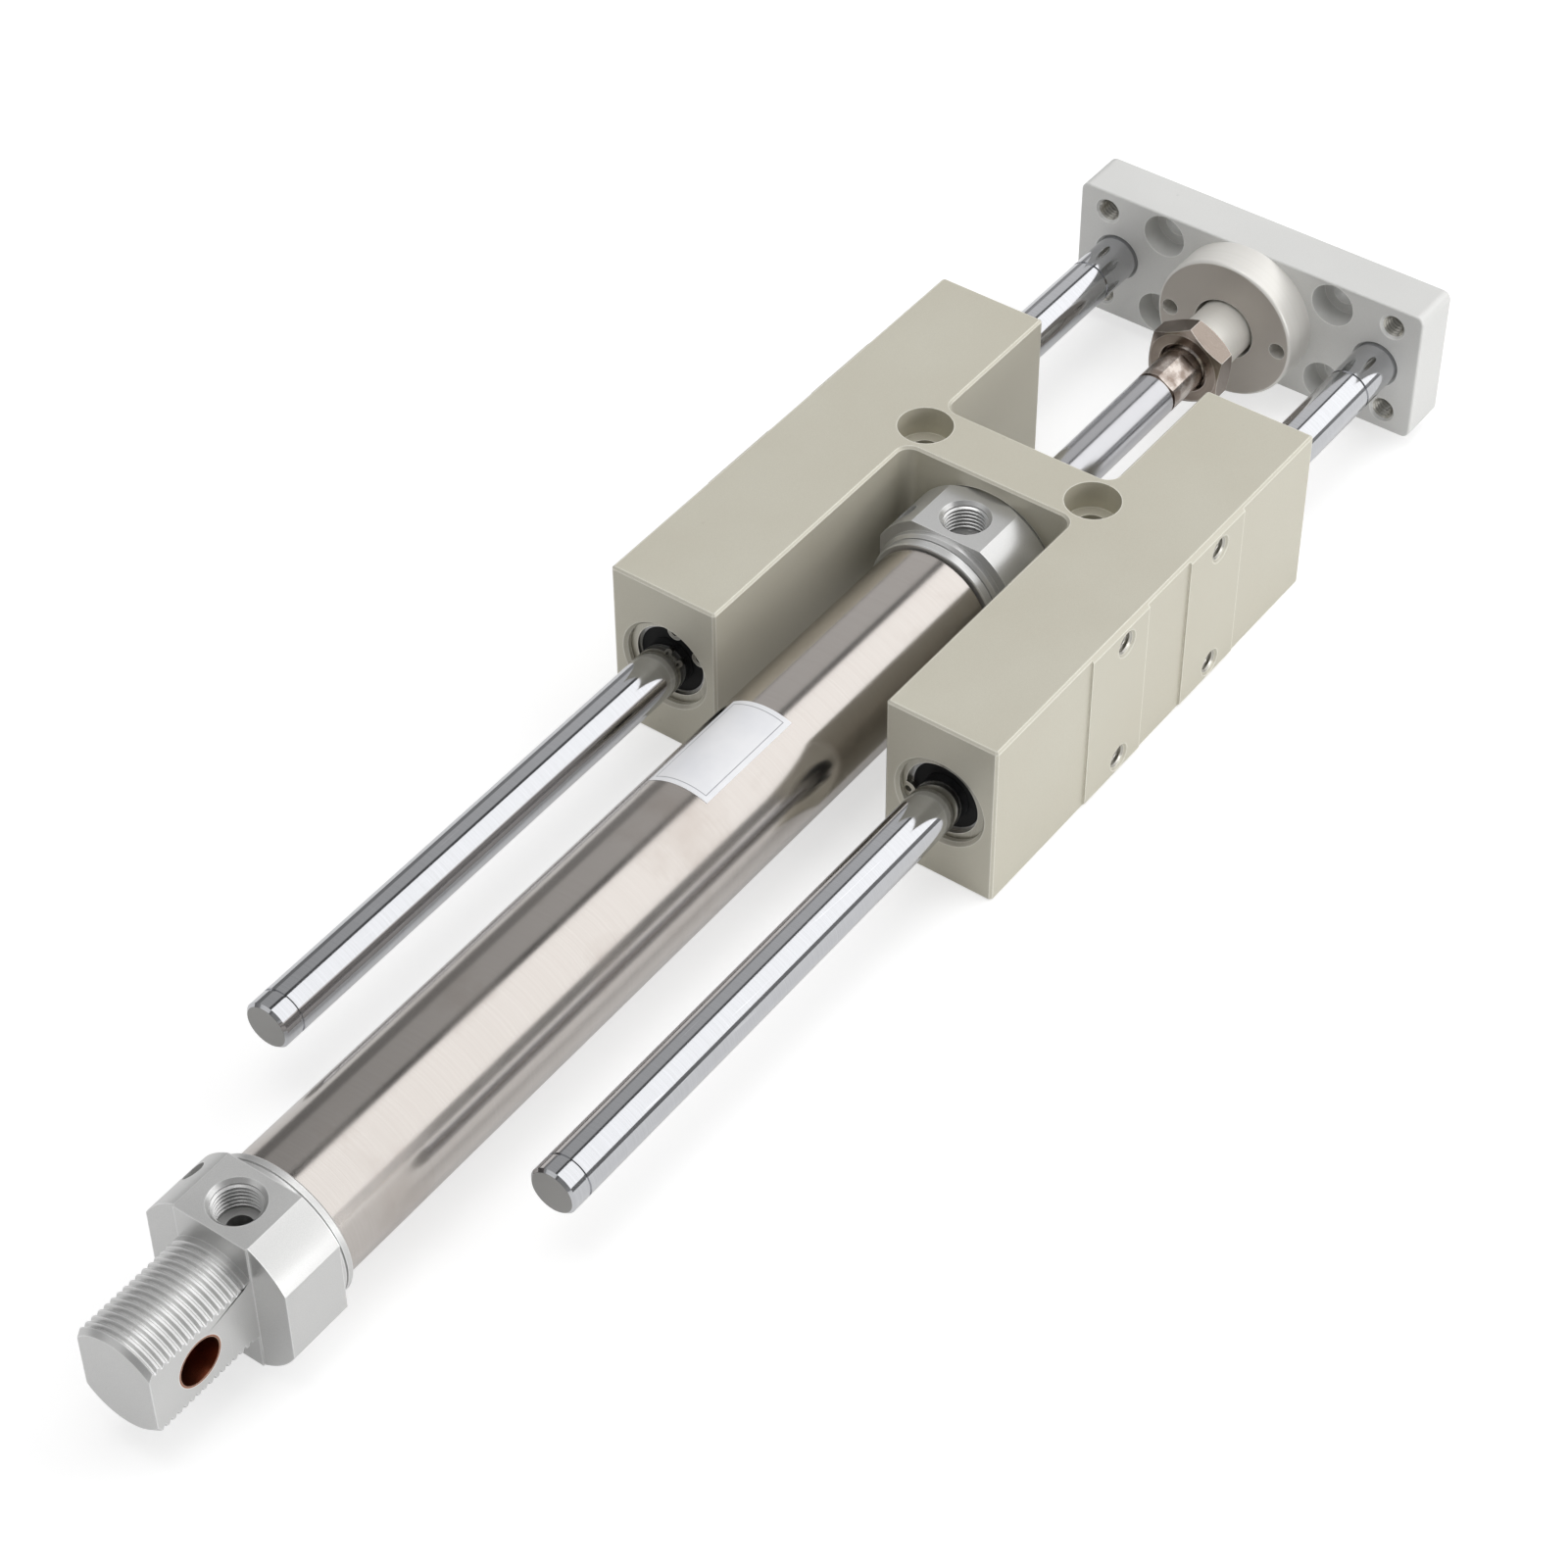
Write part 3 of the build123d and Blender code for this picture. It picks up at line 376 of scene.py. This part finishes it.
# The disc's square end faces carry a painted shade, darker than its rim
disc_finish = turned("disc turned and plated steel", srgb(228, 226, 221), srgb(234, 232, 228), (0.42, 0.5),
                     metallic=0.35, depth=0.000003, edge=srgb(244, 243, 240), painted_end_shade=srgb(188, 182, 175))
stud_finish = turned("stud satin steel", srgb(236, 234, 228), srgb(241, 239, 234), (0.36, 0.44),
                     metallic=0.45, depth=0.000004, edge=srgb(242, 241, 238))
nut_finish = turned("nickel plating", srgb(143, 132, 123), srgb(160, 149, 140), (0.18, 0.26),
                    depth=0.000004, edge=srgb(232, 227, 222), dark=srgb(100, 89, 81))
bushing_finish = turned("sintered bronze", srgb(132, 74, 52), srgb(160, 98, 72), (0.26, 0.38),
                        edge=srgb(232, 208, 186), dark=srgb(86, 42, 28))
steel_finish = turned("bearing steel", srgb(150, 150, 150), srgb(176, 176, 176), (0.25, 0.35))
ring_finish = turned("zinc plated spring steel", srgb(170, 167, 156), srgb(190, 187, 176), (0.28, 0.38),
                     edge=srgb(236, 233, 224))
screw_finish = turned("black oxide", srgb(58, 58, 58), srgb(80, 80, 80), (0.35, 0.45),
                      edge=srgb(120, 120, 118))
needle_finish = turned("bright nickel screw", srgb(176, 174, 170), srgb(198, 196, 192), (0.14, 0.22),
                       edge=srgb(236, 235, 232))
thread_finish = turned("cut thread", srgb(184, 182, 174), srgb(204, 202, 195), (0.24, 0.34), metallic=0.85)


def rod_end_finish():
    """Piston rod: hard chrome, and the bare wrench end beyond the neck with its plating stains."""
    finish = Finish("piston rod chrome and nickel", srgb(188, 188, 191), 0.18, 1.0)
    polar = finish.group(POLAR, Axis=(0, 0, AXIS_Z))
    grain = finish.group(GRAIN, Grain_size=0.0004, Patch_size=0.0035)
    rings = finish.group(LINES, Coordinates=polar["Unrolled"], Density=(9000.0, 30.0, 60.0), Detail=3.0)
    wrench_end = spread(finish.tree, polar["Along"], NECK_START - 0.1 * MM, NECK_START + 0.1 * MM)
    stain = math_node(finish.tree, "MULTIPLY", spread(finish.tree, grain["Patches"], 0.42, 0.6), wrench_end)
    finish.tint(wrench_end, srgb(203, 194, 187))
    finish.tint(stain, srgb(146, 132, 123))
    rough = math_node(finish.tree, "MULTIPLY_ADD", wrench_end, 0.08,
                      spread(finish.tree, grain["Patches"], 0.3, 0.7, 0.16, 0.22))
    finish.tree.links.new(rough, finish.shader.inputs["Roughness"])
    finish.bump(rings["Lines"], 0.0000006, 0.5)
    return finish.material


piston_rod_finish = rod_end_finish()

rubber = Finish("moulded rubber", srgb(9, 9, 10), 0.65, 0.0, Specular_IOR_Level=0.25)
rubber_grain = rubber.group(GRAIN, Grain_size=0.0003, Patch_size=0.008)
rubber.tint(rubber_grain["Patches"], srgb(17, 17, 18))
rubber.bump(rubber_grain["Grain"], 0.00003, 0.4)
seal_finish = rubber.material

FINISHES = {
    "guide_block": block_finish, "end_plate": plate_finish, "coupling_disc": disc_finish,
    "coupling_stud": stud_finish, "lock_nut": nut_finish, "front_mounting_nut": nut_finish,
    "eye_bushing": bushing_finish, "rod_bush": bushing_finish, "guide_rod_screws": screw_finish,
    "front_cushion_screw": needle_finish, "rear_cushion_screw": needle_finish, "piston": stud_finish,
    "front_cushion_sleeve": stud_finish, "rear_cushion_boss": stud_finish,
}
for name, node in nodes.items():
    if name.endswith("bushing_sleeve"):
        finish = steel_finish
    elif name.endswith("retaining_ring"):
        finish = ring_finish
    else:
        finish = FINISHES.get(name, seal_finish)
    for slot in node.material_slots:
        slot.material = finish


# Shape helpers

def add_turning(form, profile, centre, axis=(1, 0, 0), closed=False, steps=96):
    """Full turn, added to a form, of a profile of (place along the axis, radius) about a centre."""
    centre = Vector(centre)
    axis = Vector(axis)
    side = axis.orthogonal().normalized()
    corners = [form.verts.new(centre + axis * along + side * radius) for along, radius in profile]
    pairs = list(zip(corners, corners[1:]))
    if closed:
        pairs.append((corners[-1], corners[0]))
    lines = [form.edges.new(pair) for pair in pairs]
    bmesh.ops.spin(form, geom=corners + lines, cent=centre, axis=axis, dvec=(0, 0, 0), angle=2 * pi,
                   steps=steps, use_merge=True)


def turned_form(profile, centre=(0, 0, AXIS_Z), axis=(1, 0, 0), closed=False, steps=96):
    """New form of one full turn, with its poles merged and its faces outward."""
    form = bmesh.new()
    add_turning(form, profile, centre, axis, closed, steps)
    bmesh.ops.remove_doubles(form, verts=form.verts, dist=1e-7)
    bmesh.ops.recalc_face_normals(form, faces=form.faces)
    return form


def piece(name, form, finish, body, crease=30.0):
    """Object made from a form: smooth shaded with sharp creases, and riding on a body."""
    mesh = bpy.data.meshes.new(name)
    form.to_mesh(mesh)
    form.free()
    old_normals = mesh.attributes.get("custom_normal")
    if old_normals:
        mesh.attributes.remove(old_normals)
    mesh.shade_smooth()
    mesh.set_sharp_from_angle(angle=radians(crease))
    mesh.materials.clear()
    mesh.materials.append(finish)
    made = bpy.data.objects.new(name, mesh)
    scene.collection.objects.link(made)
    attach(made, body)
    return made


def edges_and_corners(faces):
    """Edges and corners of some faces, each once."""
    return (list(dict.fromkeys(edge for face in faces for edge in face.edges)),
            list(dict.fromkeys(corner for face in faces for corner in face.verts)))


# Guide rods, turned finely enough to mirror the lamps in straight lines, with their screw's hole
rod_chamfer = 0.6 * MM
groove_depth = 0.25 * MM
groove_width = 0.6 * MM
groove_inset = {"rear": 4.2 * MM, "front": 15.9 * MM}
screw_hole_radius = 2.6 * MM
screw_hole_depth = 17.0 * MM
for side, rod_y in ROD_Y.items():
    low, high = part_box(f"{side}_guide_rod")
    start, end = low[0], high[0]
    rear_groove = start + groove_inset["rear"]
    front_groove = end - groove_inset["front"]
    profile = [(start, 0), (start, ROD_RADIUS - rod_chamfer), (start + rod_chamfer, ROD_RADIUS)]
    for groove in (rear_groove, front_groove):
        profile += [(groove, ROD_RADIUS), (groove, ROD_RADIUS - groove_depth),
                    (groove + groove_width, ROD_RADIUS - groove_depth), (groove + groove_width, ROD_RADIUS)]
    profile += [(end, ROD_RADIUS), (end, screw_hole_radius), (end - screw_hole_depth, screw_hole_radius),
                (end - screw_hole_depth, 0)]
    guide_rod = piece(f"{side}_guide_rod_ground", turned_form(profile, (0, rod_y, AXIS_Z)),
                      rod_finishes[side], "carriage")
    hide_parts(f"{side}_guide_rod")

# Barrel
low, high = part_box("barrel")
barrel_radius = (high[1] - low[1]) / 2
bore_radius = 12.5 * MM
edge_chamfer = 0.15 * MM
barrel = piece("barrel_tube", turned_form(
    [(low[0], bore_radius), (low[0], barrel_radius - edge_chamfer), (low[0] + edge_chamfer, barrel_radius),
     (high[0] - edge_chamfer, barrel_radius), (high[0], barrel_radius - edge_chamfer),
     (high[0], bore_radius)],
    closed=True, steps=144), barrel_finish, "housing")
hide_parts("barrel")

# Rear collar's lip, which stands proud round the barrel's end and has one fine groove
lip_start = -222.5 * MM
lip_end = -219.6 * MM
lip_radius = 15.3 * MM
lip_root_radius = 14.0 * MM
lip_foot_radius = 13.6 * MM
lip_chamfer = 0.35 * MM
lip_relief = 0.3 * MM
lip_sink = 0.05 * MM
lip_groove_start = lip_start + 0.9 * MM
lip_groove_end = lip_groove_start + 0.5 * MM
lip_groove_slope = 0.1 * MM
lip_groove_radius = lip_radius - 0.45 * MM
lip_profile = [
    (lip_start, lip_root_radius), (lip_start, lip_radius),
    (lip_groove_start, lip_radius), (lip_groove_start + lip_groove_slope, lip_groove_radius),
    (lip_groove_end - lip_groove_slope, lip_groove_radius), (lip_groove_end, lip_radius),
    (lip_end - lip_chamfer, lip_radius), (lip_end, lip_radius - lip_chamfer), (lip_end, barrel_radius),
    (lip_end - lip_relief, barrel_radius - lip_sink), (lip_start + lip_relief, lip_foot_radius)]
piece("rear_collar_lip", turned_form(lip_profile, closed=True, steps=144), cap_finish, "housing")

# Eye bushing, with its bore opened by a wide lead-in at each side
low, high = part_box("eye_bushing")
bushing_radius = (high[0] - low[0]) / 2
bushing_bore = 4.0 * MM
lead_in = 0.6 * MM
lead_length = 3.0 * MM
eye_centre = ((low[0] + high[0]) / 2, 0, AXIS_Z)
eye_bushing = piece("eye_bushing_turned", turned_form(
    [(low[1], bushing_radius), (low[1], bushing_bore + lead_in), (low[1] + lead_length, bushing_bore),
     (high[1] - lead_length, bushing_bore), (high[1], bushing_bore + lead_in), (high[1], bushing_radius)],
    eye_centre, (0, 1, 0), closed=True, steps=64), bushing_finish, "housing", crease=20.0)
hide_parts("eye_bushing")

# Piston rod: a plain length, a neck, the flatted wrench end, and the thread up to its tip
low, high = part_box("piston_rod")
flats_start = 57.0 * MM
flats_end = 66.0 * MM
neck_radius = 4.3 * MM
flat_reach = 4.5 * MM
flats_turn = radians(32.0)
tail_radius = 4.0 * MM
piston_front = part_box("piston")[1][0]
thread_start = flats_end + 2.0 * MM
thread_pitch = 1.25 * MM
thread_flank = 0.4 * thread_pitch
thread_root = 0.1 * thread_pitch
thread_depth = 0.6 * MM
tip_chamfer = 0.4 * MM
rod_profile = [(low[0], 0), (low[0], tail_radius), (piston_front, tail_radius), (piston_front, ROD_RADIUS),
               (NECK_START, ROD_RADIUS), (NECK_START, neck_radius), (flats_start, neck_radius),
               (flats_start, ROD_RADIUS), (flats_end, ROD_RADIUS)]
turn_start = thread_start
while turn_start + thread_pitch < high[0]:
    rod_profile += [(turn_start, ROD_RADIUS), (turn_start + thread_flank, ROD_RADIUS - thread_depth),
                    (turn_start + thread_flank + thread_root, ROD_RADIUS - thread_depth)]
    turn_start += thread_pitch
rod_profile += [(high[0] - tip_chamfer, ROD_RADIUS), (high[0], ROD_RADIUS - tip_chamfer), (high[0], 0)]
piston_rod_form = turned_form(rod_profile)


def cut_flat(form, outward):
    """Cuts one wrench flat into the rod between its two ends, and closes the cut with two faces."""
    slack = 0.01 * MM
    wall = [face for face in form.faces
            if all(flats_start - slack < corner.co.x < flats_end + slack for corner in face.verts)]
    edges, corners = edges_and_corners(wall)
    axis = Vector((0, 0, AXIS_Z))
    cut = bmesh.ops.bisect_plane(form, geom=corners + edges + wall, dist=1e-8, plane_no=outward,
                                 plane_co=axis + outward * flat_reach)
    rim = [item for item in cut["geom_cut"] if isinstance(item, bmesh.types.BMEdge)]
    outside = [face for face in form.faces
               if flats_start - slack < face.calc_center_median().x < flats_end - slack
               and (face.calc_center_median() - axis).dot(outward) > flat_reach]
    bmesh.ops.delete(form, geom=outside, context="FACES")
    rim_corners = dict.fromkeys(corner for edge in rim for corner in edge.verts)
    chord = form.edges.new([corner for corner in rim_corners if abs(corner.co.x - flats_end) < slack])
    arc = [edge for edge in form.edges if len(edge.link_faces) == 1 and edge not in rim
           and all(abs(corner.co.x - flats_end) < slack for corner in edge.verts)]
    for loop in (rim + [chord], arc + [chord]):
        bmesh.ops.contextual_create(form, geom=loop)


for side in (1, -1):
    cut_flat(piston_rod_form, Vector((0, -side * sin(flats_turn), side * cos(flats_turn))))
bmesh.ops.recalc_face_normals(piston_rod_form, faces=piston_rod_form.faces)
piston_rod = piece("piston_rod_ground", piston_rod_form, piston_rod_finish, "carriage", crease=20.0)
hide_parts("piston_rod")


# Caps: their CAD shapes with the threads cut into them

def cut_thread(form, centre, direction, wall_radius, start, stop, pitch, depth, flat_y=None):
    """Cuts thread rings into a smooth wall about an axis, between two places along the axis.

    The wall's points move toward the axis by the depth: that sinks grooves into a spigot, and
    raises ridges in a hole. Points on flats at +-flat_y keep to the flat.
    """
    centre = Vector(centre)
    direction = Vector(direction)

    def height_and_radius(point):
        offset = point - centre
        along = offset.dot(direction)
        return along, (offset - along * direction).length

    slack = 0.03 * MM
    wall_margin = 4.0 * MM
    if flat_y is not None:
        flats = {face for face in form.faces
                 if all(abs(abs(corner.co.y) - flat_y) < slack for corner in face.verts)}
        seams = [edge for edge in form.edges
                 if edge.link_faces and all(face in flats for face in edge.link_faces)]
        seam_corners = list(dict.fromkeys(corner for edge in seams for corner in edge.verts))
        bmesh.ops.dissolve_limit(form, angle_limit=radians(1.0), edges=seams, verts=seam_corners)
    for face in form.faces:
        measures = [height_and_radius(corner.co) for corner in face.verts]
        on_wall = all(abs(radius - wall_radius) < slack and start - wall_margin < along < stop + wall_margin
                      for along, radius in measures)
        face.material_index = 1 if on_wall else 0
    moved = []
    turn = start
    while turn + pitch <= stop:
        for fraction, sunk in THREAD_TURN:
            wall = [face for face in form.faces if face.material_index == 1]
            edges, corners = edges_and_corners(wall)
            cut = bmesh.ops.bisect_plane(form, geom=corners + edges + wall, dist=1e-8,
                                         plane_co=centre + direction * (turn + fraction * pitch),
                                         plane_no=direction)
            if sunk:
                moved += [item for item in cut["geom_cut"] if isinstance(item, bmesh.types.BMVert)]
        turn += pitch
    scale = (wall_radius - depth) / wall_radius
    for corner in moved:
        offset = corner.co - centre
        along = offset.dot(direction) * direction
        across = (offset - along) * scale
        if flat_y is not None and abs(abs(offset.y) - flat_y) < slack:
            across.y = offset.y
            across.z = (1 if offset.z > 0 else -1) * sqrt((wall_radius * scale) ** 2 - flat_y ** 2)
        corner.co = centre + along + across
    for face in form.faces:
        face.material_index = 0


port_thread = {"start": 28.7 * MM, "stop": PORT_TOP - 0.1 * MM, "pitch": 0.907 * MM, "depth": 0.42 * MM}
spigot_thread = {"start": -259.9 * MM, "stop": -237.0 * MM, "pitch": 1.5 * MM, "depth": 0.6 * MM}
for name in ("front_cap", "rear_cap"):
    form = bmesh.new()
    form.from_mesh(nodes[name].data)
    bmesh.ops.remove_doubles(form, verts=form.verts, dist=1e-7)
    cut_thread(form, (PORT_X[name], 0, 0), (0, 0, 1), PORT_RADIUS, **port_thread)
    if name == "rear_cap":
        cut_thread(form, (0, 0, AXIS_Z), (1, 0, 0), SPIGOT_RADIUS, flat_y=EYE_FLAT_Y, **spigot_thread)
    bmesh.ops.recalc_face_normals(form, faces=form.faces)
    cap = piece(f"{name}_threaded", form, cap_finish, "housing", crease=18.0)
    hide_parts(name)


# Threads of the side and corner holes: thin liners against the drilled walls

def thread_liners(name, places, direction, radius, length, body, finish):
    """Rings of thread ridges lining drilled holes that start at the places and run one way."""
    form = bmesh.new()
    pitch = 0.9 * MM
    flank = 0.4 * pitch
    crest = 0.15 * pitch
    depth = 0.4 * MM
    backing = 0.03 * MM
    turns = int(length / pitch)
    profile = []
    for turn in range(turns):
        base = turn * pitch
        profile += [(base, radius), (base + flank, radius - depth), (base + flank + crest, radius - depth)]
    profile += [(turns * pitch, radius), (turns * pitch, radius + backing), (0.0, radius + backing)]
    for place in places:
        add_turning(form, profile, place, direction, closed=True, steps=28)
    bmesh.ops.recalc_face_normals(form, faces=form.faces)
    return piece(name, form, finish, body, crease=25.0)


hole_radius = 2.5 * MM
side_x = (7.1 * MM, -26.9 * MM)
side_y = 44.9 * MM
side_z = (4.2 * MM, 34.2 * MM)
side_thread_length = 10.0 * MM
for side, outward in (("left", 1), ("right", -1)):
    mouths = [(x, outward * side_y, z) for x in side_x for z in side_z]
    thread_liners(f"{side}_side_threads", mouths, (0, -outward, 0), hole_radius, side_thread_length,
                  "housing", thread_finish)

corner_x = 93.6 * MM
corner_y = 35.5 * MM
corner_rise = 11.0 * MM
corner_thread_length = 11.0 * MM
corner_mouths = [(corner_x, y, AXIS_Z + z)
                 for y in (corner_y, -corner_y) for z in (corner_rise, -corner_rise)]
thread_liners("corner_threads", corner_mouths, (1, 0, 0), hole_radius, corner_thread_length,
              "carriage", thread_finish)

# Blank label on the barrel: a thin curved sheet with a plain printed frame line
label_start = -107.0 * MM
label_end = -80.5 * MM
label_from = radians(-22.0)
label_to = radians(38.0)
label_gap = 0.01 * MM
label_lift = 0.06 * MM
frame_inset = 1.2 * MM
frame_width = 0.12 * MM


def label_finish():
    """White film, a little cloudy, with one thin grey frame line inside its edge."""
    finish = Finish("label film", srgb(236, 236, 238), 0.35, 0.0, Coat_Weight=0.3, Coat_Roughness=0.15)
    tree = finish.tree
    polar = finish.group(POLAR, Axis=(0, 0, AXIS_Z))
    grain = finish.group(GRAIN, Grain_size=0.0003, Patch_size=0.01)
    finish.tint(spread(tree, grain["Patches"], 0.3, 0.7), srgb(226, 227, 231))
    half_length = (label_end - label_start) / 2
    half_width = (label_to - label_from) / 2 * barrel_radius
    from_middle = math_node(tree, "SUBTRACT", polar["Along"], (label_start + label_end) / 2)
    turn_from_middle = math_node(tree, "SUBTRACT", polar["Angle"], (label_from + label_to) / 2)
    along = math_node(tree, "ABSOLUTE", from_middle)
    across = math_node(tree, "ABSOLUTE", math_node(tree, "MULTIPLY", turn_from_middle, barrel_radius))
    to_edge = math_node(tree, "MINIMUM", math_node(tree, "SUBTRACT", half_length, along),
                        math_node(tree, "SUBTRACT", half_width, across))
    from_line = math_node(tree, "ABSOLUTE", math_node(tree, "SUBTRACT", to_edge, frame_inset))
    finish.tint(spread(tree, from_line, frame_width, frame_width / 2), srgb(150, 151, 156))
    finish.bump(grain["Patches"], 0.00002, 0.2)
    return finish.material


label_form = bmesh.new()
inner = barrel_radius + label_gap
outer = barrel_radius + label_lift
corners = ((label_start, inner), (label_end, inner), (label_end, outer), (label_start, outer))
end_face = label_form.faces.new(
    [label_form.verts.new((x, radius * sin(label_to), AXIS_Z + radius * cos(label_to)))
     for x, radius in corners])
bmesh.ops.spin(label_form, geom=[end_face], cent=(0, 0, AXIS_Z), axis=(1, 0, 0), dvec=(0, 0, 0),
               angle=label_to - label_from, steps=40, use_merge=False)
bmesh.ops.recalc_face_normals(label_form, faces=label_form.faces)
piece("blank_label", label_form, label_finish(), "housing", crease=40.0)

# Floor: it keeps the object's soft shadow and is lit up for the camera, less so in reflections;
# from a little way off it is plain white to the camera
floor_reach = 8.0
floor_tone = 0.52
floor_glow = 0.6
mirrored_share = 0.35
fade_start = 0.5
fade_end = 1.4
floor_mesh = bpy.data.meshes.new("floor")
floor_form = bmesh.new()
bmesh.ops.create_grid(floor_form, x_segments=1, y_segments=1, size=floor_reach)
floor_form.to_mesh(floor_mesh)
floor_form.free()
floor = bpy.data.objects.new("floor", floor_mesh)
scene.collection.objects.link(floor)
floor_finish = Finish("pale floor", (0.8, 0.8, 0.8), 0.9, 0.0, Specular_IOR_Level=0.0)
floor_ray = add_node(floor_finish.tree, "LightPath")
in_metal = math_node(floor_finish.tree, "MAXIMUM", floor_ray.outputs["Is Glossy Ray"],
                     floor_ray.outputs["Is Transmission Ray"])
seen = math_node(floor_finish.tree, "MAXIMUM", floor_ray.outputs["Is Camera Ray"],
                 math_node(floor_finish.tree, "MULTIPLY", in_metal, mirrored_share))
from_object = add_node(floor_finish.tree, "VectorMath", operation="LENGTH")
floor_finish.tree.links.new(floor_finish.place, from_object.inputs[0])
far = spread(floor_finish.tree, from_object.outputs["Value"], fade_start, fade_end)
far_seen = math_node(floor_finish.tree, "MULTIPLY", far, floor_ray.outputs["Is Camera Ray"])
floor_finish.tint(seen, (floor_tone, floor_tone, floor_tone))
floor_finish.tint(far_seen, (0.0, 0.0, 0.0))
floor_finish.shader.inputs["Emission Color"].default_value = (1, 1, 1, 1)
near_glow = math_node(floor_finish.tree, "MULTIPLY", seen, floor_glow)
glow = math_node(floor_finish.tree, "MULTIPLY_ADD", far_seen, 1.0 - floor_glow, near_glow)
floor_finish.tree.links.new(glow, floor_finish.shader.inputs["Emission Strength"])
floor_mesh.materials.append(floor_finish.material)

# World: plain light on the object and a white background; metal mirrors a pale studio, brighter
# toward both ends of X, with dark bands along the side softbox
world = bpy.data.worlds.new("studio")
scene.world = world
world.use_nodes = True
sky = world.node_tree
background = sky.nodes["Background"]
way = add_node(sky, "SeparateXYZ")
sky.links.new(add_node(sky, "TexCoord").outputs["Generated"], way.inputs[0])
turn = math_node(sky, "ARCTAN2", math_node(sky, "MULTIPLY", way.outputs["Y"], -1.0), way.outputs["Z"])


def dark_band(low, high, darkness):
    """Factor that dims the studio between two turns about X, in degrees from +Z toward -Y."""
    soft = radians(1.5)
    rise = spread(sky, turn, radians(low) - soft, radians(low) + soft)
    fall = spread(sky, turn, radians(high) + soft, radians(high) - soft)
    return math_node(sky, "SUBTRACT", 1.0, math_node(sky, "MULTIPLY", math_node(sky, "MULTIPLY", rise, fall),
                                                     darkness))


plain_light = 0.42
studio_middle = 0.34
studio_end = 0.80
softbox_upper = -5.0
softbox_lower = 72.0
dark_bands = ((softbox_upper - 11.0, softbox_upper + 1.0, 0.8), (softbox_lower, 91.0, 0.6),
              (softbox_upper, softbox_lower, 0.65), (-92.0, -66.0, 0.5))
studio = spread(sky, math_node(sky, "ABSOLUTE", way.outputs["X"]), 0.4, 0.72, studio_middle, studio_end)
for low_turn, high_turn, darkness in dark_bands:
    studio = math_node(sky, "MULTIPLY", studio, dark_band(low_turn, high_turn, darkness))
ray = add_node(sky, "LightPath")
mirrored = math_node(sky, "MAXIMUM", ray.outputs["Is Glossy Ray"], ray.outputs["Is Transmission Ray"])
level = add_node(sky, "Mix", {"A": plain_light}, data_type="FLOAT")
sky.links.new(mirrored, level.inputs["Factor"])
sky.links.new(studio, level.inputs["B"])
shown = add_node(sky, "Mix", {"B": 1.0}, data_type="FLOAT")
sky.links.new(ray.outputs["Is Camera Ray"], shown.inputs["Factor"])
sky.links.new(level.outputs["Result"], shown.inputs["A"])
background.inputs["Color"].default_value = (1.0, 1.0, 1.0, 1)
sky.links.new(shown.outputs["Result"], background.inputs["Strength"])


def softbox(name, place, target, width, height, power):
    """Area lamp at a place, facing a target."""
    lamp = bpy.data.lights.new(name, "AREA")
    lamp.shape = "RECTANGLE"
    lamp.size = width
    lamp.size_y = height
    lamp.energy = power
    holder = bpy.data.objects.new(name, lamp)
    holder.location = place
    holder.rotation_euler = (Vector(target) - Vector(place)).to_track_quat("-Z", "Y").to_euler()
    scene.collection.objects.link(holder)


# The side softbox lies along X, so its edges mirror as straight lines along the rods and the barrel;
# a smaller one over its near half makes that brighter in the middle
softbox_reach = 1.3


def side_softbox(name, upper, lower, start, end, power):
    """Softbox between two turns about X, in degrees from +Z toward -Y, and two places along X."""
    middle = radians((upper + lower) / 2)
    half = radians((lower - upper) / 2)
    centre = (start + end) / 2
    softbox(name, (centre, -softbox_reach * sin(middle), softbox_reach * cos(middle)), (centre, 0, 0),
            end - start, 2 * softbox_reach * tan(half), power)


middle_inset = 14.0
side_softbox("side softbox", softbox_upper, softbox_lower, start=0.15, end=2.05, power=16.5)
side_softbox("side softbox middle", softbox_upper + middle_inset, softbox_lower - middle_inset,
             start=0.15, end=0.85, power=2.6)
softbox("front softbox", place=(0.0, -1.6, 0.27), target=(0, 0, 0.02), width=1.0, height=0.5, power=6.3)
softbox("top softbox", place=(-0.25, 0.1, 1.6), target=(0, 0, 0), width=1.0, height=1.0, power=7.5)
